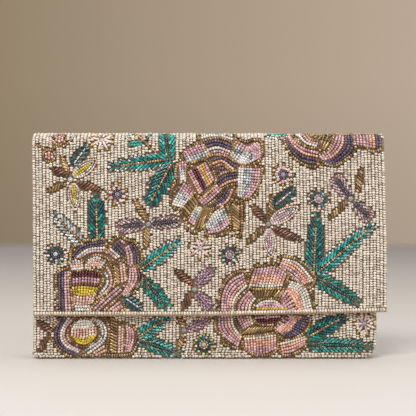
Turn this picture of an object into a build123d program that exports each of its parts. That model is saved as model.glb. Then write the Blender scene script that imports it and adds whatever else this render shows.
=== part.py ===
from build123d import *

import os

# A beaded foldover clutch, closed and standing on its floor.
# X runs from side to side, -Y is the flap side, +Z is up, and Z = 0 is the bottom of the floor.

# Driving dimensions, in millimetres
width = 250.0
height = 160.0
depth = 30.0
fold_radius = 10.0
floor_height = 5.0
floor_rounding = 1.5
front_face = -9.5
band_height = 56.0
hem_height = 30.5
hem_rise = 2.8

# Layers of every wall, from the beads inwards
bead_layer = 1.9
cloth = 0.6
wadding = 1.0
board = 1.2
lining = 0.5

# Edges
bead_margin = 0.8
lining_margin = 0.3
binding = 1.6
hem_bead_row = 2.6
front_gap = 0.3
mouth_height = 148.0

# Magnetic snap
snap_height = 68.0
snap_radius = 7.0
snap_hole_radius = 2.5
stud_radius = 2.0
magnet_radius = 5.5
prong_spread = 6.4
prong_width = 2.4

# Inside
pocket_width = 120.0
pocket_low = 40.0
pocket_high = 115.0
pocket_gap = 0.7
gusset_top = 142.0
gusset_tip_low = 2.0
gusset_tip_high = 12.0

# Worked out from the above
left = -width / 2
right = width / 2
back_face = depth / 2
flap_face = -depth / 2
fold_base = height - fold_radius
board_depth = bead_layer + cloth + wadding
lining_depth = board_depth + board
wall = lining_depth + lining
body_right_low = right - 6.4
body_right_high = right - 1.8
inner_back = back_face - wall
inner_front = front_face + wall

# Outlines seen from the front, as X and Z, each with the radius of its corner
body_outline = [
    ((left, 0), 6),
    ((body_right_low, 0), 13),
    ((body_right_low, hem_height), 0),
    ((body_right_high, fold_base), 0),
    ((left, fold_base), 0),
]


def flap_outline(raised):
    """The flap below the fold, its lower edge raised above the hem."""
    return [
        ((left + 1, hem_height + raised), 0),
        ((0, hem_height + raised), 0),
        ((right, hem_height + hem_rise + raised), 0),
        ((right, height / 2), 0),
        ((body_right_high, fold_base), 0),
        ((left, fold_base), 0),
    ]


def plate(outline, inset, near, far, low=0.0, high=fold_base):
    """A flat layer between two depths in Y and two heights, stepped in from the outline."""
    with BuildPart() as layer:
        with BuildSketch(Plane.XZ.offset(-max(near, far))) as face:
            with BuildLine():
                Polyline(*[corner for corner, radius in outline], close=True)
            make_face()
            for corner, radius in outline:
                if radius > 0:
                    fillet(face.vertices().sort_by_distance(corner)[0], radius)
            if inset > 0:
                offset(amount=-inset, kind=Kind.INTERSECTION)
            with Locations((0, (low + high) / 2)):
                Rectangle(2 * width, high - low, mode=Mode.INTERSECT)
        extrude(amount=abs(near - far))
    return layer.part


def hem_strip(low, high, inset, near, far):
    """A strip along the flap's lower edge, between two heights above the hem."""
    with BuildPart() as strip:
        with BuildSketch(Plane.XZ.offset(-max(near, far))):
            with BuildLine():
                Polyline(
                    (left + 1 + inset, hem_height + low),
                    (0, hem_height + low),
                    (right - inset, hem_height + hem_rise + low),
                    (right - inset, hem_height + hem_rise + high),
                    (0, hem_height + high),
                    (left + 1 + inset, hem_height + high),
                    close=True,
                )
            make_face()
        extrude(amount=abs(near - far))
    return strip.part


def disc(radius, near, far, x=0.0, z=snap_height):
    """A round disc facing the front, between two depths."""
    with BuildPart() as round_disc:
        with BuildSketch(Plane.XZ.offset(-max(near, far))):
            with Locations((x, z)):
                Circle(radius)
        extrude(amount=abs(near - far))
    return round_disc.part


def prongs(near, far, spare=0.0):
    """The two flat legs that pin a snap through a wall, or their slots with some spare room."""
    with BuildPart() as legs:
        with BuildSketch(Plane.XZ.offset(-max(near, far))):
            with Locations((0, snap_height)):
                with GridLocations(prong_spread, 1, 2, 1):
                    Rectangle(0.6 + 2 * spare, prong_width + 2 * spare)
        extrude(amount=abs(near - far))
    return legs.part


def corner_arc(centre, start_angle, outside, inside, inset):
    """One layer of a rounded fold edge: a quarter ring along the whole fold."""
    with BuildPart() as ring:
        with BuildSketch(Plane.YZ.offset(left + inset)):
            with BuildLine():
                outer = CenterArc((centre, fold_base), outside, start_angle, 90)
                inner = CenterArc((centre, fold_base), inside, start_angle, 90)
                Line(outer @ 0, inner @ 0)
                Line(outer @ 1, inner @ 1)
            make_face()
        extrude(amount=body_right_high - left - 2 * inset)
    return ring.part


def fold_strip(outside, inside, inset):
    """One layer of the flat top between the two rounded edges."""
    with BuildPart() as strip:
        with BuildSketch(Plane.YZ.offset(left + inset)):
            with Locations((0, fold_base + (outside + inside) / 2)):
                Rectangle(depth - 2 * fold_radius, outside - inside)
        extrude(amount=body_right_high - left - 2 * inset)
    return strip.part


def floor_block(inset, high):
    """The space under both walls, its long lower edges rounded, stepped in from the outside."""
    with BuildPart() as block:
        with BuildSketch(Plane.XZ.offset(inset - back_face)) as face:
            with BuildLine():
                Polyline(*[corner for corner, radius in body_outline], close=True)
            make_face()
            for corner, radius in body_outline:
                if radius > 0:
                    fillet(face.vertices().sort_by_distance(corner)[0], radius)
            if inset > 0:
                offset(amount=-inset, kind=Kind.INTERSECTION)
            with Locations((0, high / 2)):
                Rectangle(2 * width, high, mode=Mode.INTERSECT)
        extrude(amount=back_face - front_face - 2 * inset)
        if inset < floor_rounding:
            fillet(block.edges().filter_by(Axis.X).group_by(Axis.Z)[0], floor_rounding - inset)
    return block.part


def finish(piece, name):
    """Name a finished piece and write it to its own file."""
    piece.part.label = name
    export_step(piece.part, f"parts/{name}.step")
    print(f"{name}: {piece.part.volume:.0f} mm3")


def wall_layers(name, face, side, outline, low, high):
    """The covering cloth, wadding, board and lining of one flat wall.

    side is 1 where the wall faces the back and -1 where it faces the front.
    The cloth is turned over the edges of the wadding and the board behind it.
    """
    cloth_face = face - side * bead_layer
    wadding_face = cloth_face - side * cloth
    board_face = wadding_face - side * wadding
    lining_face = board_face - side * board
    inner_face = lining_face - side * lining

    with BuildPart() as base_cloth:
        add(plate(outline, 0, cloth_face, lining_face, low, high))
        add(
            plate(outline, cloth, wadding_face, lining_face, low + cloth, high - cloth),
            mode=Mode.SUBTRACT,
        )
    with BuildPart() as wadding_sheet:
        add(plate(outline, cloth, wadding_face, board_face, low + cloth, high - cloth))
    with BuildPart() as stiffener:
        add(plate(outline, cloth, board_face, lining_face, low + cloth, high - cloth))
    with BuildPart() as lining_sheet:
        add(plate(outline, lining_margin, lining_face, inner_face, low + lining_margin, high))
    return {
        f"{name}_base_cloth": base_cloth,
        f"{name}_wadding": wadding_sheet,
        f"{name}_board": stiffener,
        f"{name}_lining": lining_sheet,
    }


os.makedirs("parts", exist_ok=True)

# Floor of the body: beads outside, cloth, board and lining inside
with BuildPart() as bottom_beadwork:
    add(floor_block(0, floor_height))
    add(floor_block(bead_layer, floor_height), mode=Mode.SUBTRACT)
finish(bottom_beadwork, "bottom_beadwork")

with BuildPart() as bottom_base_cloth:
    add(floor_block(bead_layer, floor_height))
    add(floor_block(bead_layer + cloth, floor_height), mode=Mode.SUBTRACT)
finish(bottom_base_cloth, "bottom_base_cloth")

with BuildPart() as bottom_board:
    add(floor_block(bead_layer + cloth, floor_height - lining))
finish(bottom_board, "bottom_board")

with BuildPart() as bottom_lining:
    add(floor_block(bead_layer + cloth, floor_height))
    add(floor_block(bead_layer + cloth, floor_height - lining), mode=Mode.SUBTRACT)
finish(bottom_lining, "bottom_lining")

# Back wall
for name, piece in wall_layers("back", back_face, 1, body_outline, floor_height, fold_base).items():
    finish(piece, name)

with BuildPart() as back_beadwork:
    add(
        plate(
            body_outline, bead_margin, back_face, back_face - bead_layer,
            floor_height, fold_base,
        )
    )
finish(back_beadwork, "back_beadwork")

# Slip pocket sewn to the back lining on three sides, open at the top
with BuildPart() as slip_pocket:
    with BuildSketch(Plane.XZ.offset(-inner_back)):
        with Locations((0, (pocket_low + pocket_high) / 2)):
            Rectangle(pocket_width, pocket_high - pocket_low)
    extrude(amount=pocket_gap + cloth)
    with BuildSketch(Plane.XZ.offset(-inner_back)):
        with Locations((0, (pocket_low + cloth + pocket_high) / 2)):
            Rectangle(pocket_width - 2 * cloth, pocket_high - pocket_low - cloth)
    extrude(amount=pocket_gap, mode=Mode.SUBTRACT)
finish(slip_pocket, "slip_pocket")

# Side gussets: one V-shaped pleat of lining cloth on each side, wider at the mouth
gusset_back = inner_back
gusset_front = inner_front + front_gap
gusset_middle = (gusset_back + gusset_front) / 2
gusset_cloth = 0.8
for side_name, inwards, edge_low, edge_high in (
    ("left", 1, left + 3.0, left + 2.5),
    ("right", -1, body_right_low - 6.0, body_right_high - 3.0),
):
    with BuildPart() as gusset:
        for level, edge, tip in (
            (floor_height, edge_low, gusset_tip_low),
            (gusset_top, edge_high, gusset_tip_high),
        ):
            with BuildSketch(Plane.XY.offset(level)):
                with BuildLine():
                    Polyline(
                        (edge, gusset_back),
                        (edge + inwards * tip, gusset_middle),
                        (edge, gusset_front),
                        (edge + inwards * gusset_cloth, gusset_front),
                        (edge + inwards * (gusset_cloth + tip), gusset_middle),
                        (edge + inwards * gusset_cloth, gusset_back),
                        close=True,
                    )
                make_face()
        loft(ruled=True)
    finish(gusset, f"gusset_{side_name}")

# Fold: a flat strip over the mouth and two rounded edges, in beads, cloth, wadding and lining
fold_layers = (
    ("beadwork", 0, bead_layer, bead_margin),
    ("base_cloth", bead_layer, bead_layer + cloth, 0),
    ("wadding", bead_layer + cloth, lining_depth, cloth),
    ("lining", lining_depth, wall, lining_margin),
)
for layer_name, outer, inner, inset in fold_layers:
    outside = fold_radius - outer
    inside = fold_radius - inner
    with BuildPart() as fold_layer:
        add(fold_strip(outside, inside, inset))
    finish(fold_layer, f"fold_{layer_name}")
    with BuildPart() as back_edge_layer:
        add(corner_arc(back_face - fold_radius, 0, outside, inside, inset))
    finish(back_edge_layer, f"fold_back_edge_{layer_name}")
    with BuildPart() as front_edge_layer:
        add(corner_arc(flap_face + fold_radius, 90, outside, inside, inset))
    finish(front_edge_layer, f"fold_front_edge_{layer_name}")

# Flap
flap_parts = wall_layers("flap", flap_face, -1, flap_outline(binding), 0, fold_base)
flap_inner = flap_face + wall
flap_board_face = flap_face + board_depth
washer = 0.5

# The stud's washer sits in the wadding, and its prongs pass through board and lining
with BuildPart() as flap_wadding:
    add(flap_parts["flap_wadding"])
    add(disc(snap_radius, flap_board_face - washer, flap_board_face), mode=Mode.SUBTRACT)
flap_parts["flap_wadding"] = flap_wadding

for pierced in ("flap_board", "flap_lining"):
    with BuildPart() as pierced_layer:
        add(flap_parts[pierced])
        add(prongs(flap_board_face, flap_inner, 0.05), mode=Mode.SUBTRACT)
    flap_parts[pierced] = pierced_layer

for name, piece in flap_parts.items():
    finish(piece, name)

with BuildPart() as flap_beadwork:
    add(plate(flap_outline(binding + hem_bead_row), bead_margin, flap_face, flap_face + bead_layer))
finish(flap_beadwork, "flap_beadwork")

# One row of beads lies along the hem, under the beadwork
with BuildPart() as hem_beads:
    add(hem_strip(binding + 0.2, binding + hem_bead_row, bead_margin, flap_face, flap_face + bead_layer))
finish(hem_beads, "hem_beads")

# The cloth of the flap is turned into a binding along the hem
with BuildPart() as hem_binding:
    add(hem_strip(0, binding, 0, flap_face + bead_layer - cloth, flap_inner))
finish(hem_binding, "hem_binding")

# Snap stud on the flap: a plate with a post, its prongs bent behind a washer
stud_plate = 0.7
stud_reach = 1.8
with BuildPart() as snap_stud:
    add(disc(snap_radius, flap_inner, flap_inner + stud_plate))
    fillet(snap_stud.edges().filter_by(GeomType.CIRCLE).group_by(Axis.Y)[-1], 0.4)
    add(disc(stud_radius, flap_inner + stud_plate, flap_inner + stud_reach))
    add(prongs(flap_board_face - washer, flap_inner))
finish(snap_stud, "snap_stud")

with BuildPart() as snap_stud_washer:
    add(disc(snap_radius, flap_board_face - washer, flap_board_face))
    add(prongs(flap_board_face - washer, flap_board_face, 0.05), mode=Mode.SUBTRACT)
finish(snap_stud_washer, "snap_stud_washer")

# Front wall: beads only on the band that shows below the flap, plain cloth above it
front_low = floor_height + front_gap
front_parts = wall_layers("front", front_face, -1, body_outline, front_low, mouth_height)
front_cloth_face = front_face + bead_layer
front_board_face = front_face + board_depth
front_lining_face = front_face + lining_depth
cup_height = 0.9
cup_metal = 0.3
magnet_seat = front_board_face - cup_metal

for pocketed in ("front_base_cloth", "front_wadding"):
    with BuildPart() as pocketed_layer:
        add(front_parts[pocketed])
        add(disc(magnet_radius, front_cloth_face, front_board_face), mode=Mode.SUBTRACT)
    front_parts[pocketed] = pocketed_layer

with BuildPart() as front_board:
    add(front_parts["front_board"])
    add(disc(snap_radius, front_lining_face - washer, front_lining_face), mode=Mode.SUBTRACT)
    add(prongs(front_board_face, front_lining_face, 0.05), mode=Mode.SUBTRACT)
front_parts["front_board"] = front_board

for name, piece in front_parts.items():
    finish(piece, name)

with BuildPart() as front_beadwork:
    add(
        plate(
            body_outline, bead_margin, front_face, front_cloth_face,
            front_low, band_height,
        )
    )
finish(front_beadwork, "front_beadwork")

# Snap socket on the front: a cup over a ring magnet, its prongs bent behind a washer
with BuildPart() as snap_socket:
    add(disc(snap_radius, front_cloth_face - cup_height, front_cloth_face))
    fillet(snap_socket.edges().filter_by(GeomType.CIRCLE).group_by(Axis.Y)[0], 0.4)
    add(disc(magnet_radius, front_cloth_face, front_board_face))
    add(
        disc(magnet_radius - cup_metal, front_cloth_face - cup_height + cup_metal, magnet_seat),
        mode=Mode.SUBTRACT,
    )
    add(disc(snap_hole_radius, front_face - 1, front_cloth_face), mode=Mode.SUBTRACT)
    add(prongs(front_board_face, front_lining_face))
finish(snap_socket, "snap_socket")

with BuildPart() as snap_magnet:
    add(disc(magnet_radius - cup_metal, front_cloth_face - cup_height + cup_metal, magnet_seat))
    add(disc(snap_hole_radius, front_face - 1, magnet_seat), mode=Mode.SUBTRACT)
finish(snap_magnet, "snap_magnet")

with BuildPart() as snap_socket_washer:
    add(disc(snap_radius, front_lining_face - washer, front_lining_face))
    add(prongs(front_lining_face - washer, front_lining_face, 0.05), mode=Mode.SUBTRACT)
finish(snap_socket_washer, "snap_socket_washer")

# Binding over the raw top edge of the front wall
with BuildPart() as mouth_binding:
    with BuildSketch(Plane.YZ.offset(left)):
        with Locations(((front_cloth_face + inner_front) / 2, mouth_height - 2.2)):
            Rectangle(lining_depth - bead_layer + lining + 2 * cloth, 4.4 + 2 * cloth)
        with Locations(((front_cloth_face + inner_front) / 2, mouth_height - 2.8 - cloth)):
            Rectangle(lining_depth - bead_layer + lining, 5.6 + 2 * cloth, mode=Mode.SUBTRACT)
    extrude(amount=body_right_high - left)
    with BuildSketch(Plane.XZ.offset(width)):
        with BuildLine():
            Polyline(*[corner for corner, radius in body_outline], close=True)
        make_face()
    extrude(amount=-2 * width, mode=Mode.INTERSECT)
finish(mouth_binding, "mouth_binding")

print(f"a {width} x {depth} x {height} mm clutch, {inner_back - inner_front:.1f} mm deep inside")
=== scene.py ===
# %% [markdown]
# # A beaded foldover clutch
# The clutch is two boarded walls on a narrow floor, with a flap that comes over the top and
# hangs in front. Its boards, wadding, magnetic snap and joints arrive ready made as a fixed
# frame. This lesson dresses that frame: covering cloth, satin lining, gussets and bindings,
# and then the beadwork, bead by bead, because at this size every bead is a shape of its own
# and no bump map catches the light as they do.

# %% Load the frame
import math

import bmesh
import bpy
import numpy as np
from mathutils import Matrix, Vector
from mathutils.kdtree import KDTree


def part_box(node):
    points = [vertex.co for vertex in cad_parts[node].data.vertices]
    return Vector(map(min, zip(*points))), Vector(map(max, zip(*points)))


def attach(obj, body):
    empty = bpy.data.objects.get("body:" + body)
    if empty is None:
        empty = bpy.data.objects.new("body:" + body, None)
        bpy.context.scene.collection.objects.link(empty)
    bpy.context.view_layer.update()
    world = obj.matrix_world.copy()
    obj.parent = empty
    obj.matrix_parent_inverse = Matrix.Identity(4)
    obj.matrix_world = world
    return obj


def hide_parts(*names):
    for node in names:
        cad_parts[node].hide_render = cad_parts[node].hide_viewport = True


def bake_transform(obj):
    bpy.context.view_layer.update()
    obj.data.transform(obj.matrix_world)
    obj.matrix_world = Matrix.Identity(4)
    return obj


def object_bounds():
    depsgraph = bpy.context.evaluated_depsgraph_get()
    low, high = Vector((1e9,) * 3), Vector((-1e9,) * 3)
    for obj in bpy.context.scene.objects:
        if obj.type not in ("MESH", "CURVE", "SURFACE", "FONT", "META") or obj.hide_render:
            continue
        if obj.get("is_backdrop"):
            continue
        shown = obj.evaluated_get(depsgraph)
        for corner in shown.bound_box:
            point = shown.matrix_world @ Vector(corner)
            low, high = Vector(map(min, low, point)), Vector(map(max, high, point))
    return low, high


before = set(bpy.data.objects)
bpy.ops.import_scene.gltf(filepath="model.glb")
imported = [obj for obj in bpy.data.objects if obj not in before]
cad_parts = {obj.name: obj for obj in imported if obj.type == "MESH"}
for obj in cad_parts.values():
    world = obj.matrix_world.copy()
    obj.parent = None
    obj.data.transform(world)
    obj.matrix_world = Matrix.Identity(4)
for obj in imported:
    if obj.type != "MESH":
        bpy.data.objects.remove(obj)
cad_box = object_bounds()
print("CAD box", [round(v * 1000, 1) for corner in cad_box for v in corner])

# %% [markdown]
# ## Measures
# Everything below is laid out in millimetres, as a beader would mark it on the cloth, and
# turned to metres only when a mesh is made. The places of the walls come from the frame, so
# the dressing always fits it.

# %% Measures from the frame
MM = 0.001
rng = np.random.default_rng(7)


def extent(node, axis):
    """Lowest and highest place of a frame node along one axis, in millimetres."""
    low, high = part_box(node)
    return low[axis] / MM, high[axis] / MM


LEFT = extent("back_base_cloth", 0)[0]
RIGHT_HIGH = extent("fold_base_cloth", 0)[1]
RIGHT_LOW_EDGE = extent("front_beadwork", 0)[1] - 0.2
FLAP_RIGHT = extent("flap_base_cloth", 0)[1]
FLAP_CLOTH = extent("flap_base_cloth", 1)[0]
BACK_CLOTH = extent("back_base_cloth", 1)[1]
FRONT_CLOTH = extent("front_base_cloth", 1)[0]
FOLD_BASE, FOLD_TOP = extent("fold_back_edge_base_cloth", 2)
FOLD_HALF = extent("fold_base_cloth", 1)[1]
FOLD_RADIUS = FOLD_TOP - FOLD_BASE
HEM = extent("hem_binding", 2)[0]
HEM_RISE = 2.8
BAND_TOP = extent("front_beadwork", 2)[1]
MOUTH = extent("mouth_binding", 2)[1]
FLOOR_HEIGHT = extent("bottom_beadwork", 2)[1]
WALL = extent("back_base_cloth", 1)[1] - extent("back_lining", 1)[0]
RIGHT_CORNER = 13.0
LEFT_CORNER = 6.0
print("cloth faces", FLAP_CLOTH, BACK_CLOTH, FRONT_CLOTH, "fold", FOLD_BASE, FOLD_RADIUS)

# %% [markdown]
# ## The surface that the beads lie on
# One length of cloth runs from the flap's hem up over the fold and down the back. A place on
# it is x, from side to side, and h, the way along it from the floor up the flap, so a motif
# drawn with x and h stays whole where it goes over the edge. `lie_on` turns x and h into a
# point, an up direction and an outward direction.

# %% Places on the cloth
BEAD_LIFT = 1.0
ARC = FOLD_RADIUS + BEAD_LIFT
ARC_LENGTH = ARC * math.pi / 2
FRONT_ARC_END = FOLD_BASE + ARC_LENGTH
FOLD_MIDDLE = FRONT_ARC_END + FOLD_HALF
BACK_ARC_START = FOLD_MIDDLE + FOLD_HALF
BACK_START = BACK_ARC_START + ARC_LENGTH
BACK_END = BACK_START + FOLD_BASE - FLOOR_HEIGHT


def swell(x, z, low=HEM, high=FOLD_BASE):
    """How far a hand-made wall stands proud of flat, in millimetres."""
    across = np.clip((x - LEFT) / (FLAP_RIGHT - LEFT), 0, 1)
    up = np.clip((z - low) / (high - low), 0, 1)
    crown = np.sin(math.pi * across) ** 0.6 * np.sin(math.pi * up)
    ripple = np.sin(0.061 * x + 0.043 * z) * np.sin(0.038 * x - 0.057 * z + 1.1)
    return 0.45 * crown + 0.22 * ripple * crown ** 0.5


def edge_drop(x, left, right, reach=2.6, drop=1.1):
    """How far the cloth rolls away at its two side edges."""
    inside = np.minimum(x - left, right - x)
    t = np.clip(1 - inside / reach, 0, 1)
    return drop * t * t


def right_edge(z):
    """The flap's right edge leans out a little on its way down from the fold."""
    return np.interp(z, [80.0, FOLD_BASE], [FLAP_RIGHT, RIGHT_HIGH])


def body_right(z):
    """The body's right edge, narrower near the floor, with a round lower corner."""
    side = np.interp(z, [HEM, FOLD_BASE], [RIGHT_LOW_EDGE, RIGHT_HIGH])
    down = np.clip(RIGHT_CORNER - z, 0, RIGHT_CORNER)
    return side - RIGHT_CORNER + np.sqrt(RIGHT_CORNER**2 - down**2)


def body_left(z):
    """The body's left edge, with a round lower corner."""
    down = np.clip(LEFT_CORNER - z, 0, LEFT_CORNER)
    return LEFT + LEFT_CORNER - np.sqrt(LEFT_CORNER**2 - down**2)


def lie_on(x, h, lift=BEAD_LIFT, roll=1.0, crown=1.0):
    """Points, up and outward directions on the long cloth, lift above it. Its edges roll away
    and its walls swell by the usual amount times roll and crown."""
    x, h = np.asarray(x, float), np.asarray(h, float)
    lift = np.broadcast_to(np.asarray(lift, float), h.shape)
    y, z = np.zeros(h.shape), np.zeros(h.shape)
    turn = np.zeros(h.shape)
    flap = h < FOLD_BASE
    z[flap] = h[flap]
    y[flap] = FLAP_CLOTH - lift[flap] - crown * swell(x[flap], h[flap])
    arc = (h >= FOLD_BASE) & (h < FRONT_ARC_END)
    turn[arc] = (h[arc] - FOLD_BASE) / ARC
    y[arc] = -FOLD_HALF - (FOLD_RADIUS + lift[arc]) * np.cos(turn[arc])
    z[arc] = FOLD_BASE + (FOLD_RADIUS + lift[arc]) * np.sin(turn[arc])
    top = (h >= FRONT_ARC_END) & (h < BACK_ARC_START)
    turn[top] = math.pi / 2
    y[top] = h[top] - FOLD_MIDDLE
    z[top] = FOLD_TOP + lift[top]
    back_arc = (h >= BACK_ARC_START) & (h < BACK_START)
    turn[back_arc] = math.pi / 2 + (h[back_arc] - BACK_ARC_START) / ARC
    y[back_arc] = FOLD_HALF - (FOLD_RADIUS + lift[back_arc]) * np.cos(turn[back_arc])
    z[back_arc] = FOLD_BASE + (FOLD_RADIUS + lift[back_arc]) * np.sin(turn[back_arc])
    back = h >= BACK_START
    turn[back] = math.pi
    z[back] = FOLD_BASE - (h[back] - BACK_START)
    y[back] = BACK_CLOTH + lift[back] + crown * swell(x[back], z[back], FLOOR_HEIGHT)
    left = np.where(back, body_left(np.maximum(z, 0)), LEFT + np.clip(FOLD_BASE - z, 0, 200) / 120)
    right = np.where(flap, right_edge(z), RIGHT_HIGH)
    right = np.where(back, body_right(np.maximum(z, 0)), right)
    drop = roll * edge_drop(x, left, right)
    nothing = np.zeros(h.shape)
    up = np.stack([nothing, np.sin(turn), np.cos(turn)], -1)
    out = np.stack([nothing, -np.cos(turn), np.sin(turn)], -1)
    point = np.stack([x, y, z], -1) - out * drop[..., None]
    return point, up, out


def lie_on_front(x, z, lift=BEAD_LIFT, roll=1.0):
    """The same for the band of beads on the front wall, where h is the height."""
    x, z = np.asarray(x, float), np.asarray(z, float)
    drop = roll * edge_drop(x, body_left(z), body_right(z))
    y = FRONT_CLOTH - lift + drop
    point = np.stack([x, y, z], -1)
    nothing, one = np.zeros(z.shape), np.ones(z.shape)
    return point, np.stack([nothing, nothing, one], -1), np.stack([nothing, -one, nothing], -1)


UNDER_LEFT = LEFT + LEFT_CORNER
UNDER_RIGHT = RIGHT_LOW_EDGE - RIGHT_CORNER
UNDER_CURL = 1.5
UNDER_LEG = FLOOR_HEIGHT - 1.9 - UNDER_CURL
UNDER_ARC = UNDER_CURL * math.pi / 2
UNDER_FLAT = BACK_CLOTH - FRONT_CLOTH - 2 * UNDER_CURL
UNDER_LENGTH = 2 * UNDER_LEG + 2 * UNDER_ARC + UNDER_FLAT


def lie_under(x, h, lift=BEAD_LIFT):
    """The same round the floor: h runs down the front edge, along below and up the back one."""
    x, h = np.asarray(x, float), np.asarray(h, float)
    beyond_left = np.clip(UNDER_LEFT - x, 0, LEFT_CORNER - 0.1)
    beyond_right = np.clip(x - UNDER_RIGHT, 0, RIGHT_CORNER - 0.1)
    tilt = np.arcsin(beyond_right / RIGHT_CORNER) - np.arcsin(beyond_left / LEFT_CORNER)
    rise = RIGHT_CORNER - np.sqrt(RIGHT_CORNER**2 - beyond_right**2)
    rise = rise + LEFT_CORNER - np.sqrt(LEFT_CORNER**2 - beyond_left**2)
    first = np.clip((h - UNDER_LEG) / UNDER_ARC, 0, 1) * math.pi / 2
    after = h - UNDER_LEG - UNDER_ARC - UNDER_FLAT
    second = np.clip(after / UNDER_ARC, 0, 1) * math.pi / 2
    turn = first + second
    along = np.clip(h - UNDER_LEG - UNDER_ARC, 0, UNDER_FLAT)
    y = FRONT_CLOTH + UNDER_CURL * (1 - np.cos(first) + np.sin(second)) + along
    down = np.clip(h, 0, UNDER_LEG) + UNDER_CURL * (np.sin(first) - 1 + np.cos(second))
    down = down - np.clip(after - UNDER_ARC, 0, UNDER_LEG)
    z = FLOOR_HEIGHT - down * np.clip(1 - rise / (FLOOR_HEIGHT - 1.9), 0, 1)
    nothing = np.zeros(h.shape)
    lean = np.sin(tilt) * np.sin(turn)
    out = np.stack([lean, -np.cos(turn), -np.sin(turn) * np.cos(tilt)], -1)
    out /= np.linalg.norm(out, axis=-1)[..., None]
    point = np.stack([x, y, z], -1) + out * np.asarray(lift)[..., None]
    return point, np.stack([nothing, np.sin(turn), -np.cos(turn)], -1), out


print("long cloth", round(BACK_END - HEM, 1), "mm from hem to floor")

# %% [markdown]
# ## Beads as shapes
# A seed bead is a short round barrel, and a bugle bead a long tube. Each is modelled once: a
# cylinder with eight sides whose two ends are bevelled. It stays at sixty triangles because
# the clutch wears more than twenty thousand of them. A cup bead, for the flowers' centres,
# is a sphere pressed in at the top.

# %% Model one seed bead and one bugle
def deselect():
    """Leave nothing selected, so that the next operator acts on the new piece alone."""
    if bpy.context.object and bpy.context.object.mode != "OBJECT":
        bpy.ops.object.mode_set(mode="OBJECT")
    bpy.ops.object.select_all(action="DESELECT")


def face_outward(piece):
    """Turns all faces of a piece outward and leaves it selected."""
    deselect()
    piece.select_set(True)
    bpy.context.view_layer.objects.active = piece
    bpy.ops.object.mode_set(mode="EDIT")
    bpy.ops.mesh.select_all(action="SELECT")
    bpy.ops.mesh.normals_make_consistent(inside=False)
    bpy.ops.object.mode_set(mode="OBJECT")


def bead_shape(name, end_inset, end_bevel):
    """A unit bead along Z: radius 1, length 1, its ends narrowed to end_inset."""
    deselect()
    bpy.ops.mesh.primitive_cylinder_add(vertices=8, radius=1, depth=2 * end_bevel)
    bead = bpy.context.object
    bead.name = name
    bpy.ops.object.mode_set(mode="EDIT")
    bpy.ops.mesh.select_mode(type="FACE")
    bpy.ops.mesh.select_all(action="DESELECT")
    shape = bmesh.from_edit_mesh(bead.data)
    for face in shape.faces:
        face.select = abs(face.normal.z) > 0.9
    bmesh.update_edit_mesh(bead.data)
    bpy.ops.mesh.extrude_region_move()
    bpy.ops.transform.resize(value=(end_inset, end_inset, 0.5 / end_bevel))
    bpy.ops.object.mode_set(mode="OBJECT")
    points = np.array([v.co for v in bead.data.vertices])
    sides = [list(p.vertices) for p in bead.data.polygons if len(p.vertices) == 4]
    caps = [list(p.vertices) for p in bead.data.polygons if len(p.vertices) == 8]
    bpy.data.objects.remove(bead)
    print(name, len(points), "points", len(sides), "sides", len(caps), "caps")
    return points, np.array(sides), np.array(caps)


SEED = bead_shape("seed_bead", 0.56, 0.22)
BUGLE = bead_shape("bugle_bead", 0.78, 0.44)

# %% [markdown]
# ## Glass, metal and pearl finishes
# Every colour of bead takes its finish from one shared group. It reads the tone that each
# bead was given when it was placed, so neighbours differ as beads from one packet do, darkens
# the two ends with painted shade, for the dark hole that the closed bead shape leaves out and
# the crevice where one bead meets the next, and adds the cloudy streaks of drawn glass. Shiny
# finishes are set on the shader itself.

# %% The shared glass group
def link(tree, source, target):
    """Join two sockets."""
    tree.links.new(source, target)


def new_group(name, inputs, outputs):
    """A shader node group with named sockets; returns it with its input and output nodes."""
    group = bpy.data.node_groups.new(name, "ShaderNodeTree")
    for socket, kind, value in inputs:
        made = group.interface.new_socket(socket, in_out="INPUT", socket_type=kind)
        made.default_value = value
    for socket, kind in outputs:
        group.interface.new_socket(socket, in_out="OUTPUT", socket_type=kind)
    return group, group.nodes.new("NodeGroupInput"), group.nodes.new("NodeGroupOutput")


def blend_colours(tree, factor, low, high, mode="MIX"):
    """A Mix node for colours; each of the three may be a socket or a plain value."""
    node = tree.nodes.new("ShaderNodeMix")
    node.data_type = "RGBA"
    node.blend_type = mode
    for socket, value in ((node.inputs[0], factor), (node.inputs[6], low), (node.inputs[7], high)):
        if isinstance(value, bpy.types.NodeSocket):
            link(tree, value, socket)
        else:
            socket.default_value = value
    return node.outputs[2]


def maths(tree, operation, first, second=0.5, third=None, clamp=False):
    """A Math node; each value may be a socket or a plain number."""
    node = tree.nodes.new("ShaderNodeMath")
    node.operation = operation
    node.use_clamp = clamp
    for socket, value in zip(node.inputs, (first, second, third)):
        if isinstance(value, bpy.types.NodeSocket):
            link(tree, value, socket)
        elif value is not None:
            socket.default_value = value
    return node.outputs[0]


def noise(tree, vector, scale, detail=3.0, roughness=0.55):
    """A noise texture on the given coordinates."""
    node = tree.nodes.new("ShaderNodeTexNoise")
    node.inputs["Scale"].default_value = scale
    node.inputs["Detail"].default_value = detail
    node.inputs["Roughness"].default_value = roughness
    link(tree, vector, node.inputs["Vector"])
    return node.outputs["Fac"]


def attribute(tree, name):
    """The value that a piece stores under that name."""
    node = tree.nodes.new("ShaderNodeAttribute")
    node.attribute_name = name
    return node.outputs["Fac"]


def coordinates(tree):
    """Places on the object, in metres."""
    return tree.nodes.new("ShaderNodeTexCoord").outputs["Object"]


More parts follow.
